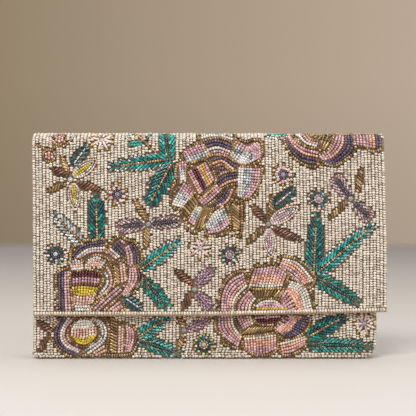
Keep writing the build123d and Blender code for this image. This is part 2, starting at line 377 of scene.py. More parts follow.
bead_glass, glass_in, glass_out = new_group(
    "bead_glass",
    [
        ("Light", "NodeSocketColor", (0.8, 0.8, 0.8, 1)),
        ("Middle", "NodeSocketColor", (0.6, 0.6, 0.6, 1)),
        ("Dark", "NodeSocketColor", (0.4, 0.4, 0.4, 1)),
        ("Roughness", "NodeSocketFloat", 0.25),
    ],
    [("Color", "NodeSocketColor"), ("Roughness", "NodeSocketFloat")],
)
tone = attribute(bead_glass, "tone")
along = attribute(bead_glass, "along")
lighter = maths(bead_glass, "MULTIPLY_ADD", tone, 2.0, -1.0, clamp=True)
darker = maths(bead_glass, "MULTIPLY_ADD", tone, -2.0, 1.0, clamp=True)
toned = blend_colours(bead_glass, lighter, glass_in.outputs["Middle"], glass_in.outputs["Light"])
toned = blend_colours(bead_glass, darker, toned, glass_in.outputs["Dark"])
cloud = noise(bead_glass, coordinates(bead_glass), 900.0)
toned = blend_colours(bead_glass, maths(bead_glass, "MULTIPLY", cloud, 0.35), toned,
                      glass_in.outputs["Dark"])
# Painted shade: the bevelled ends darken nearly to black, for the hole that the closed bead lacks and the
# crevice against the next bead.
hole = maths(bead_glass, "POWER", along, 5.0)
hole = maths(bead_glass, "MULTIPLY", hole, 0.8)
toned = blend_colours(bead_glass, hole, toned, (0.05, 0.03, 0.02, 1), "MULTIPLY")
link(bead_glass, toned, glass_out.inputs["Color"])
rough = maths(bead_glass, "MULTIPLY_ADD", cloud, 0.18, glass_in.outputs["Roughness"])
link(bead_glass, rough, glass_out.inputs["Roughness"])


def principled(name):
    """A new material; returns it with its tree and its shader."""
    material = bpy.data.materials.new(name)
    material.use_nodes = True
    tree = material.node_tree
    return material, tree, tree.nodes["Principled BSDF"]


def glass_bead(name, light, middle, dark, roughness=0.2, metallic=0.0, coat=0.6, specular=0.5):
    """One packet of beads: three tones and a shine."""
    material, tree, shader = principled(name)
    group = tree.nodes.new("ShaderNodeGroup")
    group.node_tree = bead_glass
    for socket, colour in (("Light", light), ("Middle", middle), ("Dark", dark)):
        group.inputs[socket].default_value = (*colour, 1)
    group.inputs["Roughness"].default_value = roughness
    link(tree, group.outputs["Color"], shader.inputs["Base Color"])
    link(tree, group.outputs["Roughness"], shader.inputs["Roughness"])
    shader.inputs["Metallic"].default_value = metallic
    shader.inputs["Coat Weight"].default_value = coat
    shader.inputs["Coat Roughness"].default_value = 0.08
    shader.inputs["Specular IOR Level"].default_value = specular
    return material


# %% [markdown]
# ## The palette
# The ground is pearl ivory. Outlines are gold-lined brown, petals run through pink, peach,
# white, silver and aubergine, leaves through three greens, and yellow and maroon mark the
# hearts of the roses.

# %% Mix the packets of beads
packets = {
    "ivory": glass_bead("ivory_pearl", (0.95, 0.885, 0.79), (0.8, 0.72, 0.605), (0.46, 0.36, 0.27), 0.22),
    "gold": glass_bead(
        "gold_lined", (0.8, 0.56, 0.28), (0.4, 0.235, 0.09), (0.1, 0.052, 0.018), 0.2, 0.5
    ),
    "pink": glass_bead("rose_pink", (0.87, 0.61, 0.63), (0.67, 0.4, 0.43), (0.34, 0.165, 0.19)),
    "mauve": glass_bead("mauve", (0.56, 0.4, 0.52), (0.38, 0.24, 0.36), (0.2, 0.11, 0.2)),
    "blush": glass_bead("blush", (0.94, 0.76, 0.7), (0.82, 0.6, 0.54), (0.48, 0.3, 0.26)),
    "coral": glass_bead("coral_peach", (0.96, 0.65, 0.51), (0.84, 0.46, 0.34), (0.5, 0.22, 0.15)),
    "peach": glass_bead("pale_peach", (0.92, 0.7, 0.6), (0.78, 0.5, 0.41), (0.5, 0.27, 0.21)),
    "aubergine": glass_bead(
        "aubergine", (0.2, 0.14, 0.2), (0.1, 0.065, 0.105), (0.035, 0.022, 0.04), 0.14
    ),
    "silver": glass_bead(
        "silver_crystal", (0.88, 0.9, 0.9), (0.54, 0.57, 0.58), (0.15, 0.16, 0.175), 0.1, 0.2
    ),
    "white": glass_bead("milk_white", (0.93, 0.91, 0.84), (0.78, 0.75, 0.68), (0.48, 0.44, 0.38)),
    "teal": glass_bead("teal_green", (0.03, 0.5, 0.42), (0.008, 0.23, 0.19), (0.003, 0.06, 0.055), 0.12),
    "petrol": glass_bead("dark_teal", (0.006, 0.17, 0.2), (0.003, 0.075, 0.095), (0.002, 0.025, 0.035), 0.1),
    "turquoise": glass_bead(
        "turquoise", (0.08, 0.64, 0.6), (0.02, 0.36, 0.34), (0.005, 0.11, 0.11), 0.14
    ),
    "yellow": glass_bead("yellow", (0.88, 0.7, 0.05), (0.66, 0.47, 0.02), (0.36, 0.22, 0.015)),
    "maroon": glass_bead("maroon", (0.26, 0.015, 0.03), (0.11, 0.006, 0.014), (0.04, 0.003, 0.007), 0.1),
    "brown": glass_bead(
        "copper_brown", (0.42, 0.19, 0.11), (0.2, 0.08, 0.045), (0.07, 0.028, 0.016), 0.16, 0.35
    ),
    "bronze": glass_bead(
        "gold_bugle", (0.76, 0.53, 0.26), (0.4, 0.25, 0.095), (0.12, 0.065, 0.025), 0.18, 0.5
    ),
}
print(len(packets), "packets of beads")

# %% [markdown]
# ## Laying beads out
# The pattern is drawn first as a plain list: colour, place, direction and size of every bead.
# Only when a whole side is drawn does it become meshes, one for each colour, because thousands
# of separate objects would be slow, and one object of all colours too heavy to edit.

# %% Strings, fills and rows
SEED_LENGTH = 1.92
SEED_RADIUS = 1.0
ROW_GAP = 2.18
layout = []
covered = []


def lay(colour, x, h, angle, length=SEED_LENGTH, radius=SEED_RADIUS, kind="seed"):
    """Note one bead: its middle, and its hole's direction as an angle from +x towards +h."""
    layout.append((colour, x, h, angle, length, radius, kind))


def smooth(points, steps=10):
    """A smooth line through a few points."""
    p = np.array(points, float)
    if len(p) < 3:
        return p
    p = np.vstack([2 * p[0] - p[1], p, 2 * p[-1] - p[-2]])
    t = np.linspace(0, 1, steps, endpoint=False)[:, None]
    parts = []
    for a, b, c, d in zip(p[:-3], p[1:-2], p[2:-1], p[3:]):
        parts.append(
            0.5 * (2 * b + (c - a) * t + (2 * a - 5 * b + 4 * c - d) * t**2 + (3 * b - a - 3 * c + d) * t**3)
        )
    return np.vstack([*parts, p[-2:-1]])


def walk(line, pitch, start=0.5):
    """Places at an even pitch along a line, with the line's direction at each."""
    steps = np.diff(line, axis=0)
    lengths = np.hypot(steps[:, 0], steps[:, 1])
    total = lengths.sum()
    count = max(1, round(total / pitch))
    at = (np.arange(count) + start) * total / count
    run = np.concatenate([[0], np.cumsum(lengths)])
    xs = np.interp(at, run, line[:, 0])
    hs = np.interp(at, run, line[:, 1])
    which = np.clip(np.searchsorted(run, at) - 1, 0, len(steps) - 1)
    return xs, hs, np.arctan2(steps[which, 1], steps[which, 0]), total / count


def string(points, colour, radius=SEED_RADIUS, pitch=SEED_LENGTH, straight=False):
    """Sew a string of seed beads along a line. Colours may be a list, repeated."""
    line = np.array(points, float) if straight else smooth(points)
    xs, hs, angles, step = walk(line, pitch)
    colours = [colour] if isinstance(colour, str) else colour
    for i, (x, h, angle) in enumerate(zip(xs, hs, angles)):
        lay(colours[i % len(colours)], x, h, angle, step * 0.95, radius)


def outline(points, colour="gold"):
    """Gold beads couched round a petal."""
    string(points, colour, radius=1.1, pitch=1.76)


def even(line, count):
    """A line's points at even steps along it, ends included."""
    lengths = np.hypot(*np.diff(line, axis=0).T)
    run = np.concatenate([[0], np.cumsum(lengths)])
    at = np.linspace(0, run[-1], count)
    return np.stack([np.interp(at, run, line[:, 0]), np.interp(at, run, line[:, 1])], 1)


def spread(low, high, by=0.65):
    """A petal's two edges moved apart, and their ends lengthened, to reach its outline."""
    gap = high - low
    gap = gap / np.maximum(np.hypot(*gap.T), 0.3)[:, None] * by
    low, high = low - gap, high + gap
    for line in (low, high):
        first, last = line[0] - line[1], line[-1] - line[-2]
        line[0] += first / max(np.hypot(*first), 0.01) * by
        line[-1] += last / max(np.hypot(*last), 0.01) * by
    return low, high


def rows(inner, outer, bands):
    """Fill a petal with strings that run along it; each colour gets its share, from inner to outer."""
    low, high = spread(even(smooth(inner), 24), even(smooth(outer), 24))
    shares = [colour for colour, share in bands for _ in range(share)]
    count = max(len(bands), round(np.hypot(*(high - low).T).mean() / ROW_GAP))
    for i in range(count):
        t = (i + 0.5) / count
        string(low * (1 - t) + high * t, shares[int(t * len(shares))], straight=True)
    covered.append(np.vstack([low, high[::-1]]))


def spokes(inner, outer, bands, spacing=2.2):
    """Fill a petal with strings that run across it, each changing colour on the way."""
    low, high = spread(even(smooth(inner), 24), even(smooth(outer), 24))
    widest = max(np.hypot(*np.diff(low, axis=0).T).sum(), np.hypot(*np.diff(high, axis=0).T).sum())
    count = max(2, round(widest / spacing))
    low, high = even(low, count + 1), even(high, count + 1)
    near, far = (np.hypot(*np.diff(line, axis=0).T).mean() for line in (low, high))
    low, high = (low[1:] + low[:-1]) / 2, (high[1:] + high[:-1]) / 2
    colours = [colour for colour, share in bands for _ in range(share)]
    for i, (a, b) in enumerate(zip(low, high)):
        length = np.hypot(*(b - a))
        beads = max(1, round(length / SEED_LENGTH))
        angle = math.atan2(b[1] - a[1], b[0] - a[0])
        for k in range(beads):
            t = (k + 0.5) / beads
            if i % 2 == 0 or near + (far - near) * t > 1.45:
                lay(colours[int(t * len(colours))], *(a + (b - a) * t), angle, length / beads * 0.99)
    covered.append(np.vstack([low, high[::-1]]))


def bugles(inner, outer, colour="bronze", spacing=1.75, lean=0.0, radius=0.82):
    """Fill a petal with bugle beads laid across it side by side, leaning along it if asked."""
    low, high = smooth(inner), smooth(outer)
    widest = max(np.hypot(*np.diff(low, axis=0).T).sum(), np.hypot(*np.diff(high, axis=0).T).sum())
    count = max(2, round(widest / spacing))
    low, high = even(low, count), even(high, count)
    shift = int(round(lean * count))
    for i in range(count):
        j = min(max(i + shift, 0), count - 1)
        a, b = low[i], high[j]
        middle, length = (a + b) / 2, np.hypot(*(b - a))
        if length > 1.2:
            pieces = max(1, round(length / 7.0))
            for k in range(pieces):
                t = (k + 0.5) / pieces
                at = a + (b - a) * t
                angle = math.atan2(b[1] - a[1], b[0] - a[0])
                lay(colour, *at, angle, length / pieces * 0.97, radius, "bugle")
    covered.append(np.vstack([low, high[::-1]]))


# %% [markdown]
# ## Leaves, petals and daisies
# The small motifs repeat all over the cloth, so each is a function. A leaf has a midrib and
# slanted bugles on both sides, shorter towards the tip. A hatched petal is a row of parallel
# bugles inside an almond. A veined petal has bowed strings side by side. A daisy has a cup
# bead, a ring, spokes and tips.

# %% Small motifs
def almond(t, fullness=0.74):
    """Half width of an almond shape along its length, 1 at its widest."""
    return np.sin(math.pi * np.clip(t, 0, 1) ** fullness) ** 0.75


def frame_of(base, tip):
    """Length, direction and side direction from base to tip."""
    base, tip = np.array(base, float), np.array(tip, float)
    way = tip - base
    length = np.hypot(*way)
    way = way / length
    return base, length, way, np.array([-way[1], way[0]])


def leaf(base, tip, half_width, edge=("teal", "petrol"), rib="gold", tips="", vein="", reach=0.86):
    """A leaf of slanted rows of short bugles. vein adds a second line beside the midrib."""
    base, length, way, side = frame_of(base, tip)
    string([base, base + way * length * reach], rib, radius=0.98, pitch=1.7, straight=True)
    inner = 1.4
    if vein:
        for s in (-1, 1):
            bowed = [base, base + way * length * 0.45 + side * s * 2.0, base + way * length * 0.88]
            string(bowed, vein, radius=0.62, pitch=1.4)
        inner = 2.3
    if tips:
        half_width = half_width - 0.9
    gap = 1.8
    for s in (-1, 1):
        at = 0.3
        while at < length - 1.0:
            t = at / length
            slant = math.radians(42 - 14 * t)
            wide = max(half_width * almond(t + 0.16 * (1 - t)) - inner * (1 - 0.6 * t), 0.5)
            start = base + way * at + side * s * inner * (1 - 0.5 * t)
            heading = way * math.cos(slant) + side * s * math.sin(slant)
            angle = math.atan2(heading[1], heading[0])
            beads = int(np.clip(round(wide / math.sin(slant) / 2.7 + rng.uniform(-0.15, 0.35)), 1, 4))
            for k in range(beads):
                lay(edge[int(rng.integers(len(edge)))], *(start + heading * (1.1 + 2.7 * k)), angle, 2.55,
                    0.86,
                    "bugle")
            if tips:
                lay(tips, *(start + heading * (2.7 * beads + 0.6)), angle, 1.9, 0.72)
            at += gap / math.sin(slant)
    t = np.linspace(0, 1, 14)[:, None]
    curve = base + way * length * t
    wide = half_width * 0.8 * almond(t)
    covered.append(np.vstack([curve + side * wide, (curve - side * wide)[::-1]]))


def dabbed(base, tip, width):
    """A small leaf of thick dark dabs, with silver dashes between them."""
    base, length, way, side = frame_of(base, tip)
    heading = math.atan2(way[1], way[0])
    dabs = round(length / 3.2)
    for k in range(dabs):
        t = (k + 0.5) / dabs
        lay("silver", *(base + way * length * (t + 0.08)), heading, 2.6, 0.75, "bugle")
        for s in (-1, 1):
            at = base + way * length * t + side * s * (1.0 + width / 2 * almond(t, 0.8)) * 0.75
            lay("petrol", *at, heading + s * 0.75, 2.9, 1.1, "bugle")
    covered.append(np.array([base, base + way * length / 2 + side * width / 2, base + way * length,
                             base + way * length / 2 - side * width / 2]))


def hatched(base, tip, width, colour="brown", lean=35):
    """An almond petal of parallel bugles that slant across it."""
    base, length, way, side = frame_of(base, tip)
    count = max(3, round(length / 2.25))
    slant = math.radians(lean)
    heading = side * math.cos(slant) + way * math.sin(slant)
    angle = math.atan2(heading[1], heading[0])
    for i in range(count):
        t = (i + 0.5) / count
        reach = max(width * almond(t, 0.8), 1.6)
        lay(colour, *(base + way * length * t), angle, reach, 0.86, "bugle")
    covered.append(np.array([base, base + way * length * 0.5 + side * width * 0.4, base + way * length,
                             base + way * length * 0.5 - side * width * 0.4]))


def veined(base, tip, width, colours):
    """An almond petal of bowed strings side by side, each with its colour."""
    base, length, way, side = frame_of(base, tip)
    t = np.linspace(0.03, 1, 14)[:, None]
    for i, colour in enumerate(colours):
        share = 2 * i / (len(colours) - 1) - 1
        reach = 0.68 + 0.3 * abs(share)
        line = base + way * length * reach * t + side * share * width / 2 * almond(t, 0.9)
        string(line, colour, radius=0.76, pitch=1.75, straight=True)
    wide = width / 2 * almond(t, 0.9)
    covered.append(np.vstack([base + way * length * t + side * wide,
                              (base + way * length * t - side * wide)[::-1]]))


cups = []


def cup(x, h):
    """A cup bead at a flower's centre."""
    cups.append((x, h))


def daisy(x, h, ring="aubergine", spoke="pink", tip="yellow", spokes_in=8, reach=8.0, long=False):
    """A daisy: cup bead, ring, spokes and tips."""
    cup(x, h)
    if ring:
        around = 9
        for k in range(around):
            a = 2 * math.pi * k / around
            lay(ring, x + 2.7 * math.cos(a), h + 2.7 * math.sin(a), a + math.pi / 2, 1.8, 0.85)
    turn = rng.uniform(0, 1)
    for k in range(spokes_in):
        a = 2 * math.pi * (k + turn) / spokes_in
        ca, sa = math.cos(a), math.sin(a)
        if long:
            middle, length, thickness = 1.9 + (reach - 3.4) / 2, reach - 3.2, 0.9
        else:
            middle, length, thickness = 4.9, 2.6, 1.1
        lay(spoke, x + middle * ca, h + middle * sa, a, length, thickness, "bugle")
        lay(tip, x + (reach - 0.7) * ca, h + (reach - 0.7) * sa, a + math.pi / 2, 1.5, 0.8)

# %% [markdown]
# ## The flap's flowers
# The flap is worked like a botanical sampler: roses built of outlined petals, sprigs whose
# petals are hatched with bugles, feathered leaves and small daisies. Each is drawn in its own
# cell, so that a plant can be moved or left out. Inside a rose the gaps between its petals are
# filled with gold, so each rose also notes its outer shape.

# %% Feathered petals, loops and rose grounds
grounds = []
RAY_EDGE = ("coral", "ivory")
RAYS_YELLOW = (RAY_EDGE, "silver", "yellow", "yellow", "silver", RAY_EDGE)
RAYS_PINK = (RAY_EDGE, "silver", "pink", "pink", "silver", RAY_EDGE)
TURQUOISE = ("turquoise", "turquoise", "teal")


def feather(base, tip, width, colours=("aubergine", "silver", "pink")):
    """An almond petal of short slanted strings, changing colour outwards from its middle."""
    base, length, way, side = frame_of(base, tip)
    string([base + way * 1.5, base + way * length * 0.8], colours[0], 0.8, 1.55, straight=True)
    for s in (-1, 1):
        place = 1.0
        while place < length - 1.0:
            t = place / length
            slant = math.radians(36 - 12 * t)
            heading = way * math.cos(slant) + side * s * math.sin(slant)
            angle = math.atan2(heading[1], heading[0])
            reach = max(width / 2 * almond(t + 0.1, 0.8) - 0.9, 0.8) / math.sin(slant)
            beads = int(np.clip(round(reach / 1.85), 1, 4))
            for k in range(beads):
                colour = colours[min(int((k + 1.2) * len(colours) / (beads + 0.6)), len(colours) - 1)]
                at = base + way * place + side * s * 1.2 + heading * (0.9 + 1.85 * k)
                lay(colour, *at, angle, 1.75, 0.74)
            place += 1.65 / math.sin(slant)
    t = np.linspace(0, 1, 12)[:, None]
    wide = width / 2 * almond(t, 0.7)
    covered.append(np.vstack([base + way * length * t + side * wide,
                              (base + way * length * t - side * wide)[::-1]]))


def ring(x, h, radius, colour="gold", inside=("pink",)):
    """A closed loop of outline beads round a few beads of another colour."""
    turn = np.linspace(0, 2 * math.pi, 25)
    circle = np.stack([x + radius * np.cos(turn), h + radius * np.sin(turn)], 1)
    string(circle, colour, 0.95, 1.62, straight=True)
    covered.append(circle)
    rows_inside = int((radius - 0.8) / 1.1)
    for i in range(rows_inside):
        offset = (i - (rows_inside - 1) / 2) * 2.05
        half = math.sqrt(max((radius - 1.4) ** 2 - offset**2, 0.5))
        string([(x + offset, h - half), (x + offset, h + half)], inside[i % len(inside)], straight=True)


def rose_ground(points, colour="gold"):
    """Note a rose's outer shape, whose gaps are filled with that colour."""
    grounds.append((np.array(points, float), colour))


# %% Sprigs along the top left
def top_sprigs():
    string([(-122, 151.5), (-113.5, 148), (-108.5, 150), (-101, 151.5), (-94.5, 159.5)], "gold", 0.95, 1.6)
    ring(-113, 144, 4.3, inside=("pink", "coral"))
    ring(-106, 156, 4.4, inside=("pink", "coral"))
    string([(-98, 155), (-96, 159.5)], "silver")
    daisy(-76, 155.5, "gold", "blush", "yellow", 8, 8.8, long=True)
    string([(-54, 164), (-44, 151.5), (-37.5, 146.5)], "gold", 0.95, 1.6)
    for dx in (0.0, 2.6, 5.2):
        lay("teal", -54.5 + dx, 151.5, 0.35, 4.4, 0.88, "bugle")
        lay("teal", -44 + dx * 0.5, 156.5 + dx, 1.2, 3.0, 0.88, "bugle")
        lay("teal", -54 + dx, 153.5, 0.35, 3.6, 0.88, "bugle")
    string([(-59.5, 157.5), (-53, 159.5)], "silver")
    string([(40.5, 158), (48.5, 156.5), (55.5, 158)], "silver")
    string([(41.5, 161), (54.5, 161)], "turquoise")
    string([(41.5, 164), (54.5, 164)], "turquoise")


# %% Leaves on one stem
def leaf_trio():
    leaf((-28.5, 140.5), (-32, 167.0), 5.8, TURQUOISE, "petrol", vein="gold")
    leaf((-27, 141.5), (-68.5, 136), 5.0, TURQUOISE, "gold", "silver")
    leaf((-27, 138), (-43, 108), 6.6)


# %% The middle rose
def middle_rose():
    rose_ground([(-4.5, 164), (16, 164), (21.5, 156.5), (37.5, 155), (39, 138), (37, 119), (27, 112),
                 (23.5, 89),
                 (9, 87), (-3, 87.5), (-13.5, 91), (-20, 105), (-29, 108.5), (-27.5, 123.5), (-23.5, 143),
                 (-13.5, 151.5)])
    string([(-6, 157), (0.5, 159.5), (7.5, 160), (16.5, 155.5)], "white")
    string([(-6, 160), (5.5, 164), (16.5, 159)], "silver")
    outline([(-7.5, 155), (-8, 164), (-2.5, 165.5), (5.5, 166.5), (13, 165.5), (18, 161), (18.5, 155)])
    outline([(-5, 154), (0.5, 156), (7.5, 157), (15, 153.5), (18, 149.5)])
    rows([(0, 145), (6, 146.5), (13, 144.5)], [(-4, 153), (5.5, 155), (16, 151)],
         [("pink", 1), ("white", 1), ("aubergine", 3)])
    outline([(-2, 143), (2.5, 144.5), (8, 144.5), (13, 143), (18.5, 139)])
    outline([(15, 144.5), (18, 152.5), (21.5, 155), (26.5, 153.5), (30, 155), (35, 155), (37, 151.5),
             (37, 144),
             (34.5, 140), (30, 138), (20, 137.5)])
    spokes([(15, 144), (20, 139.5)], [(20.5, 153.5), (27, 149.5)],
           [("white", 2), ("silver", 2), ("pink", 2)])
    spokes([(21, 139), (25, 138)], [(28, 149.5), (34.5, 153), (36, 143)],
           [("white", 2), ("silver", 2), ("pink", 3)])
    outline([(21, 136), (35.5, 136), (37, 132.5), (34.5, 123.5), (33, 117), (27.5, 113), (22, 114.5),
             (18.5, 115.5)])
    spokes([(21, 135), (20.5, 126), (20, 115.5)], [(35.5, 134.5), (34, 123.5), (28, 114.5)],
           [("white", 2), ("silver", 2), ("pink", 3)])
    outline([(-20, 143), (-16, 148.5), (-8, 152.5), (-5, 152), (-2.5, 149), (-0.5, 144), (-6.5, 140.5),
             (-16, 139),
             (-20, 143)])
    spokes([(-15.5, 140), (-8.5, 141.5), (-1.5, 144.5)], [(-18.5, 145), (-13, 149.5), (-5, 151.5)],
           [("silver", 2), ("pink", 3)])
    outline([(-20, 141.5), (-23, 137), (-24, 130.5), (-22, 125)])
    spokes([(-19.5, 125), (-17, 126)], [(-21.5, 139), (-16.5, 139.5)],
           [("white", 3), ("silver", 3), ("pink", 3)])
    outline([(-18, 125.5), (-25, 123.5), (-27, 117), (-27, 109.5), (-22, 106), (-18, 108), (-13.5, 113.5),
             (-10.5, 118)])
    spokes([(-18, 124.5), (-11.5, 118.5)], [(-26, 109.5), (-18.5, 107.5)],
           [("pink", 3), ("silver", 3), ("white", 3)])
    outline([(-15, 124), (-17, 132.5), (-12, 139.5), (-4, 141.5), (1.5, 135.5), (4.5, 126), (-1, 116),
             (-7.5, 115),
             (-15, 124)])
    bud = (("coral", 0.04), ("pink", 0.16), ("maroon", 0.28), ("maroon", 0.4), ("pink", 0.52),
           ("yellow", 0.64), ("coral", 0.77), ("pink", 0.9))
    for colour, t in bud:
        low = np.array((-15.5, 132.5)) * (1 - t) + np.array((-2, 140)) * t
        high = np.array((-7, 116.5)) * (1 - t) + np.array((4, 127)) * t
        string([low, high], colour, straight=True)
    covered.append(np.array([(-16, 133.5), (-6.5, 116.5), (4, 126), (-2.5, 140.5)]))
    rows([(3, 137.5), (9, 139.5), (16, 134)], [(1.5, 142), (9, 143), (18.5, 137)],
         [("coral", 1), ("aubergine", 2)])
    rows([(5, 132), (11.5, 132)], [(7, 135.5), (9.5, 135.5)], [("aubergine", 2)])
    outline([(2.5, 135.5), (9, 137.5), (16.5, 132)])
    rows([(8, 122), (14, 125), (20, 126.5)], [(4.5, 125.5), (10.5, 130), (18.5, 131.5)],
         [("coral", 1), ("aubergine", 2)])
    outline([(3, 125), (9, 131.5), (19.5, 133.5)])
    outline([(7.5, 120), (14, 123), (20, 124)])
    rows([(-4, 109), (2.5, 114.5), (8, 119.5)], [(-7, 112.5), (-1, 118), (5, 123)],
         [("pink", 2), ("coral", 1)])
    outline([(-4.5, 107), (3, 112), (9.5, 118.5)])
    rows([(3, 110.5), (8, 114), (11.5, 119)], [(5.5, 108.5), (12.5, 111.5), (16.5, 120)],
         [("aubergine", 2), ("coral", 1)])
    outline([(2, 107), (11.5, 108), (18.5, 117), (20, 123.5)])
    bugles([(-19.5, 106), (-10, 116.5)], [(-15, 101), (-6.5, 110.5)], "bronze", 2.0)
    outline([(-20.5, 104.5), (-16.5, 99), (-7.5, 109)])
    spokes([(-9, 108.5), (-6, 107)], [(-14.5, 98), (-11, 95.5)], [("white", 2), ("silver", 3), ("pink", 2)])
    bugles([(-10.5, 93), (-6.5, 93), (-2.5, 99)], [(-5, 106.5), (-1.5, 107.5), (2, 107)], "bronze", 1.9)
    outline([(-16, 99.5), (-16.5, 93), (-12, 90.5), (-7.5, 91), (-2.5, 96.5), (3, 107)])
    spokes([(-2.5, 95.5), (3.5, 103.5), (9.5, 108.5)], [(-0.5, 89.5), (7.5, 91), (14, 96.5)],
           [("white", 2), ("silver", 2), ("pink", 2)])
    outline([(-4, 95), (-2.5, 89), (1.5, 87), (7.5, 88), (14.5, 91.5), (14, 102.5), (12.5, 108.5)])
    bugles([(16, 110), (16.5, 90.5)], [(21, 112), (21.5, 92.5)], "bronze", 2.0, 0.28)
    outline([(16, 87.5), (22, 88), (23, 102.5), (22.5, 113)])


# %% The half rose on the fold
def fold_rose():
    rose_ground([(52.5, 165), (52.5, 154), (54.5, 149.5), (58, 144), (65, 138), (76, 136), (87.5, 136),
                 (96, 141), (102, 146.5),
                 (106, 149), (114.5, 146.5), (121.5, 149.5), (122, 165)])
    for flip in (False, True):
        first = len(layout)
        edge = len(covered)
        outline([(52.5, 159.5), (53, 153.5), (55, 149), (59, 143), (66, 138), (70, 136.5), (76, 136.5),
                 (76.5, 142.5)])
        rows([(56.5, 164), (59, 155), (66, 149.5), (76, 146.5)],
             [(54, 159.5), (55.5, 151), (64.5, 140.5), (75.5, 138)],
             [("pink", 1), ("coral", 2), ("aubergine", 3)])
        outline([(57.5, 165), (60.5, 155.5), (68.5, 150), (76.5, 149)])
        rows([(66, 164), (70, 155), (76, 152.5)], [(61, 164), (66, 154), (75, 150.5)],
             [("pink", 1), ("white", 1)])
        outline([(67, 164), (71.5, 155.5), (77, 154)])
        outline([(76.5, 141.5), (82.5, 138), (87.5, 136.5), (96, 141), (102, 147), (103, 153), (100.5, 161)])
        rows([(78, 143), (85.5, 148.5), (90.5, 159.5)], [(82, 138.5), (89, 138), (100.5, 148),
                                                         (100.5, 158.5)],
             [("pink", 2), ("coral", 2), ("aubergine", 3)])
        outline([(77, 144), (84.5, 149), (89, 161)])
        bugles([(78, 149), (80.5, 148)], [(81.5, 161), (87.5, 158.5)], "bronze", 2.0)
        bugles([(71, 159.5), (76.5, 155.5)], [(75, 162), (79.5, 159.5)], "bronze", 2.0)
        outline([(102.5, 151), (109.5, 150.5), (113, 147), (118.5, 147.5), (122, 150), (122, 155.5)])
        rows([(102, 159.5), (102, 152)], [(121, 159.5), (121, 149)],
             [("pink", 6), ("coral", 3), ("aubergine", 2)])
        if flip:
            for i in range(first, len(layout)):
                colour, x, h, angle, *rest = layout[i]
                layout[i] = (colour, x, 2 * ROSE_MIDDLE - h, -angle, *rest)
            for i in range(edge, len(covered)):
                covered[i] = covered[i] * (1, -1) + (0, 2 * ROSE_MIDDLE)
    shape = grounds[-1][0]
    grounds.append((shape * (1, -1) + (0, 2 * ROSE_MIDDLE), "gold"))


ROSE_MIDDLE = 162.0

# %% Sprigs on the left
def left_sprigs():
    cup(-98, 127)
    hatched((-100, 129), (-111.5, 135.5), 6.6)
    hatched((-99.5, 130.5), (-104, 144.5), 4.6, "bronze")
    hatched((-101, 124), (-115.5, 118.5), 4.4, "bronze")
    hatched((-94, 125.5), (-75.5, 118.5), 6.6)
    veined((-96.5, 129), (-79, 141.5), 8.6, RAYS_YELLOW)
    veined((-96, 125), (-94.5, 105), 8.0, RAYS_YELLOW)
    dabbed((-96.5, 137), (-86, 151), 5.6)
    daisy(-65, 116.5, reach=7.9)
    leaf((-79, 84), (-80, 116.5), 6.0, reach=0.7)
    leaf((-89.5, 82), (-110, 103), 5.0, ("silver",), "gold", reach=0.8)
    daisy(-108.5, 74.5, "aubergine", "petrol", "coral", 8, 7.2)


# %% The winged flower beside the middle rose
def winged_flower():
    cup(-43, 95.5)
    feather((-44.5, 95.5), (-67, 93.5), 9.6)
    feather((-42, 95.5), (-16.5, 98.5), 8.6)
    hatched((-44, 98), (-53, 113.5), 5.4, "bronze")
    hatched((-43, 93), (-45.5, 77.5), 5.4, "bronze")


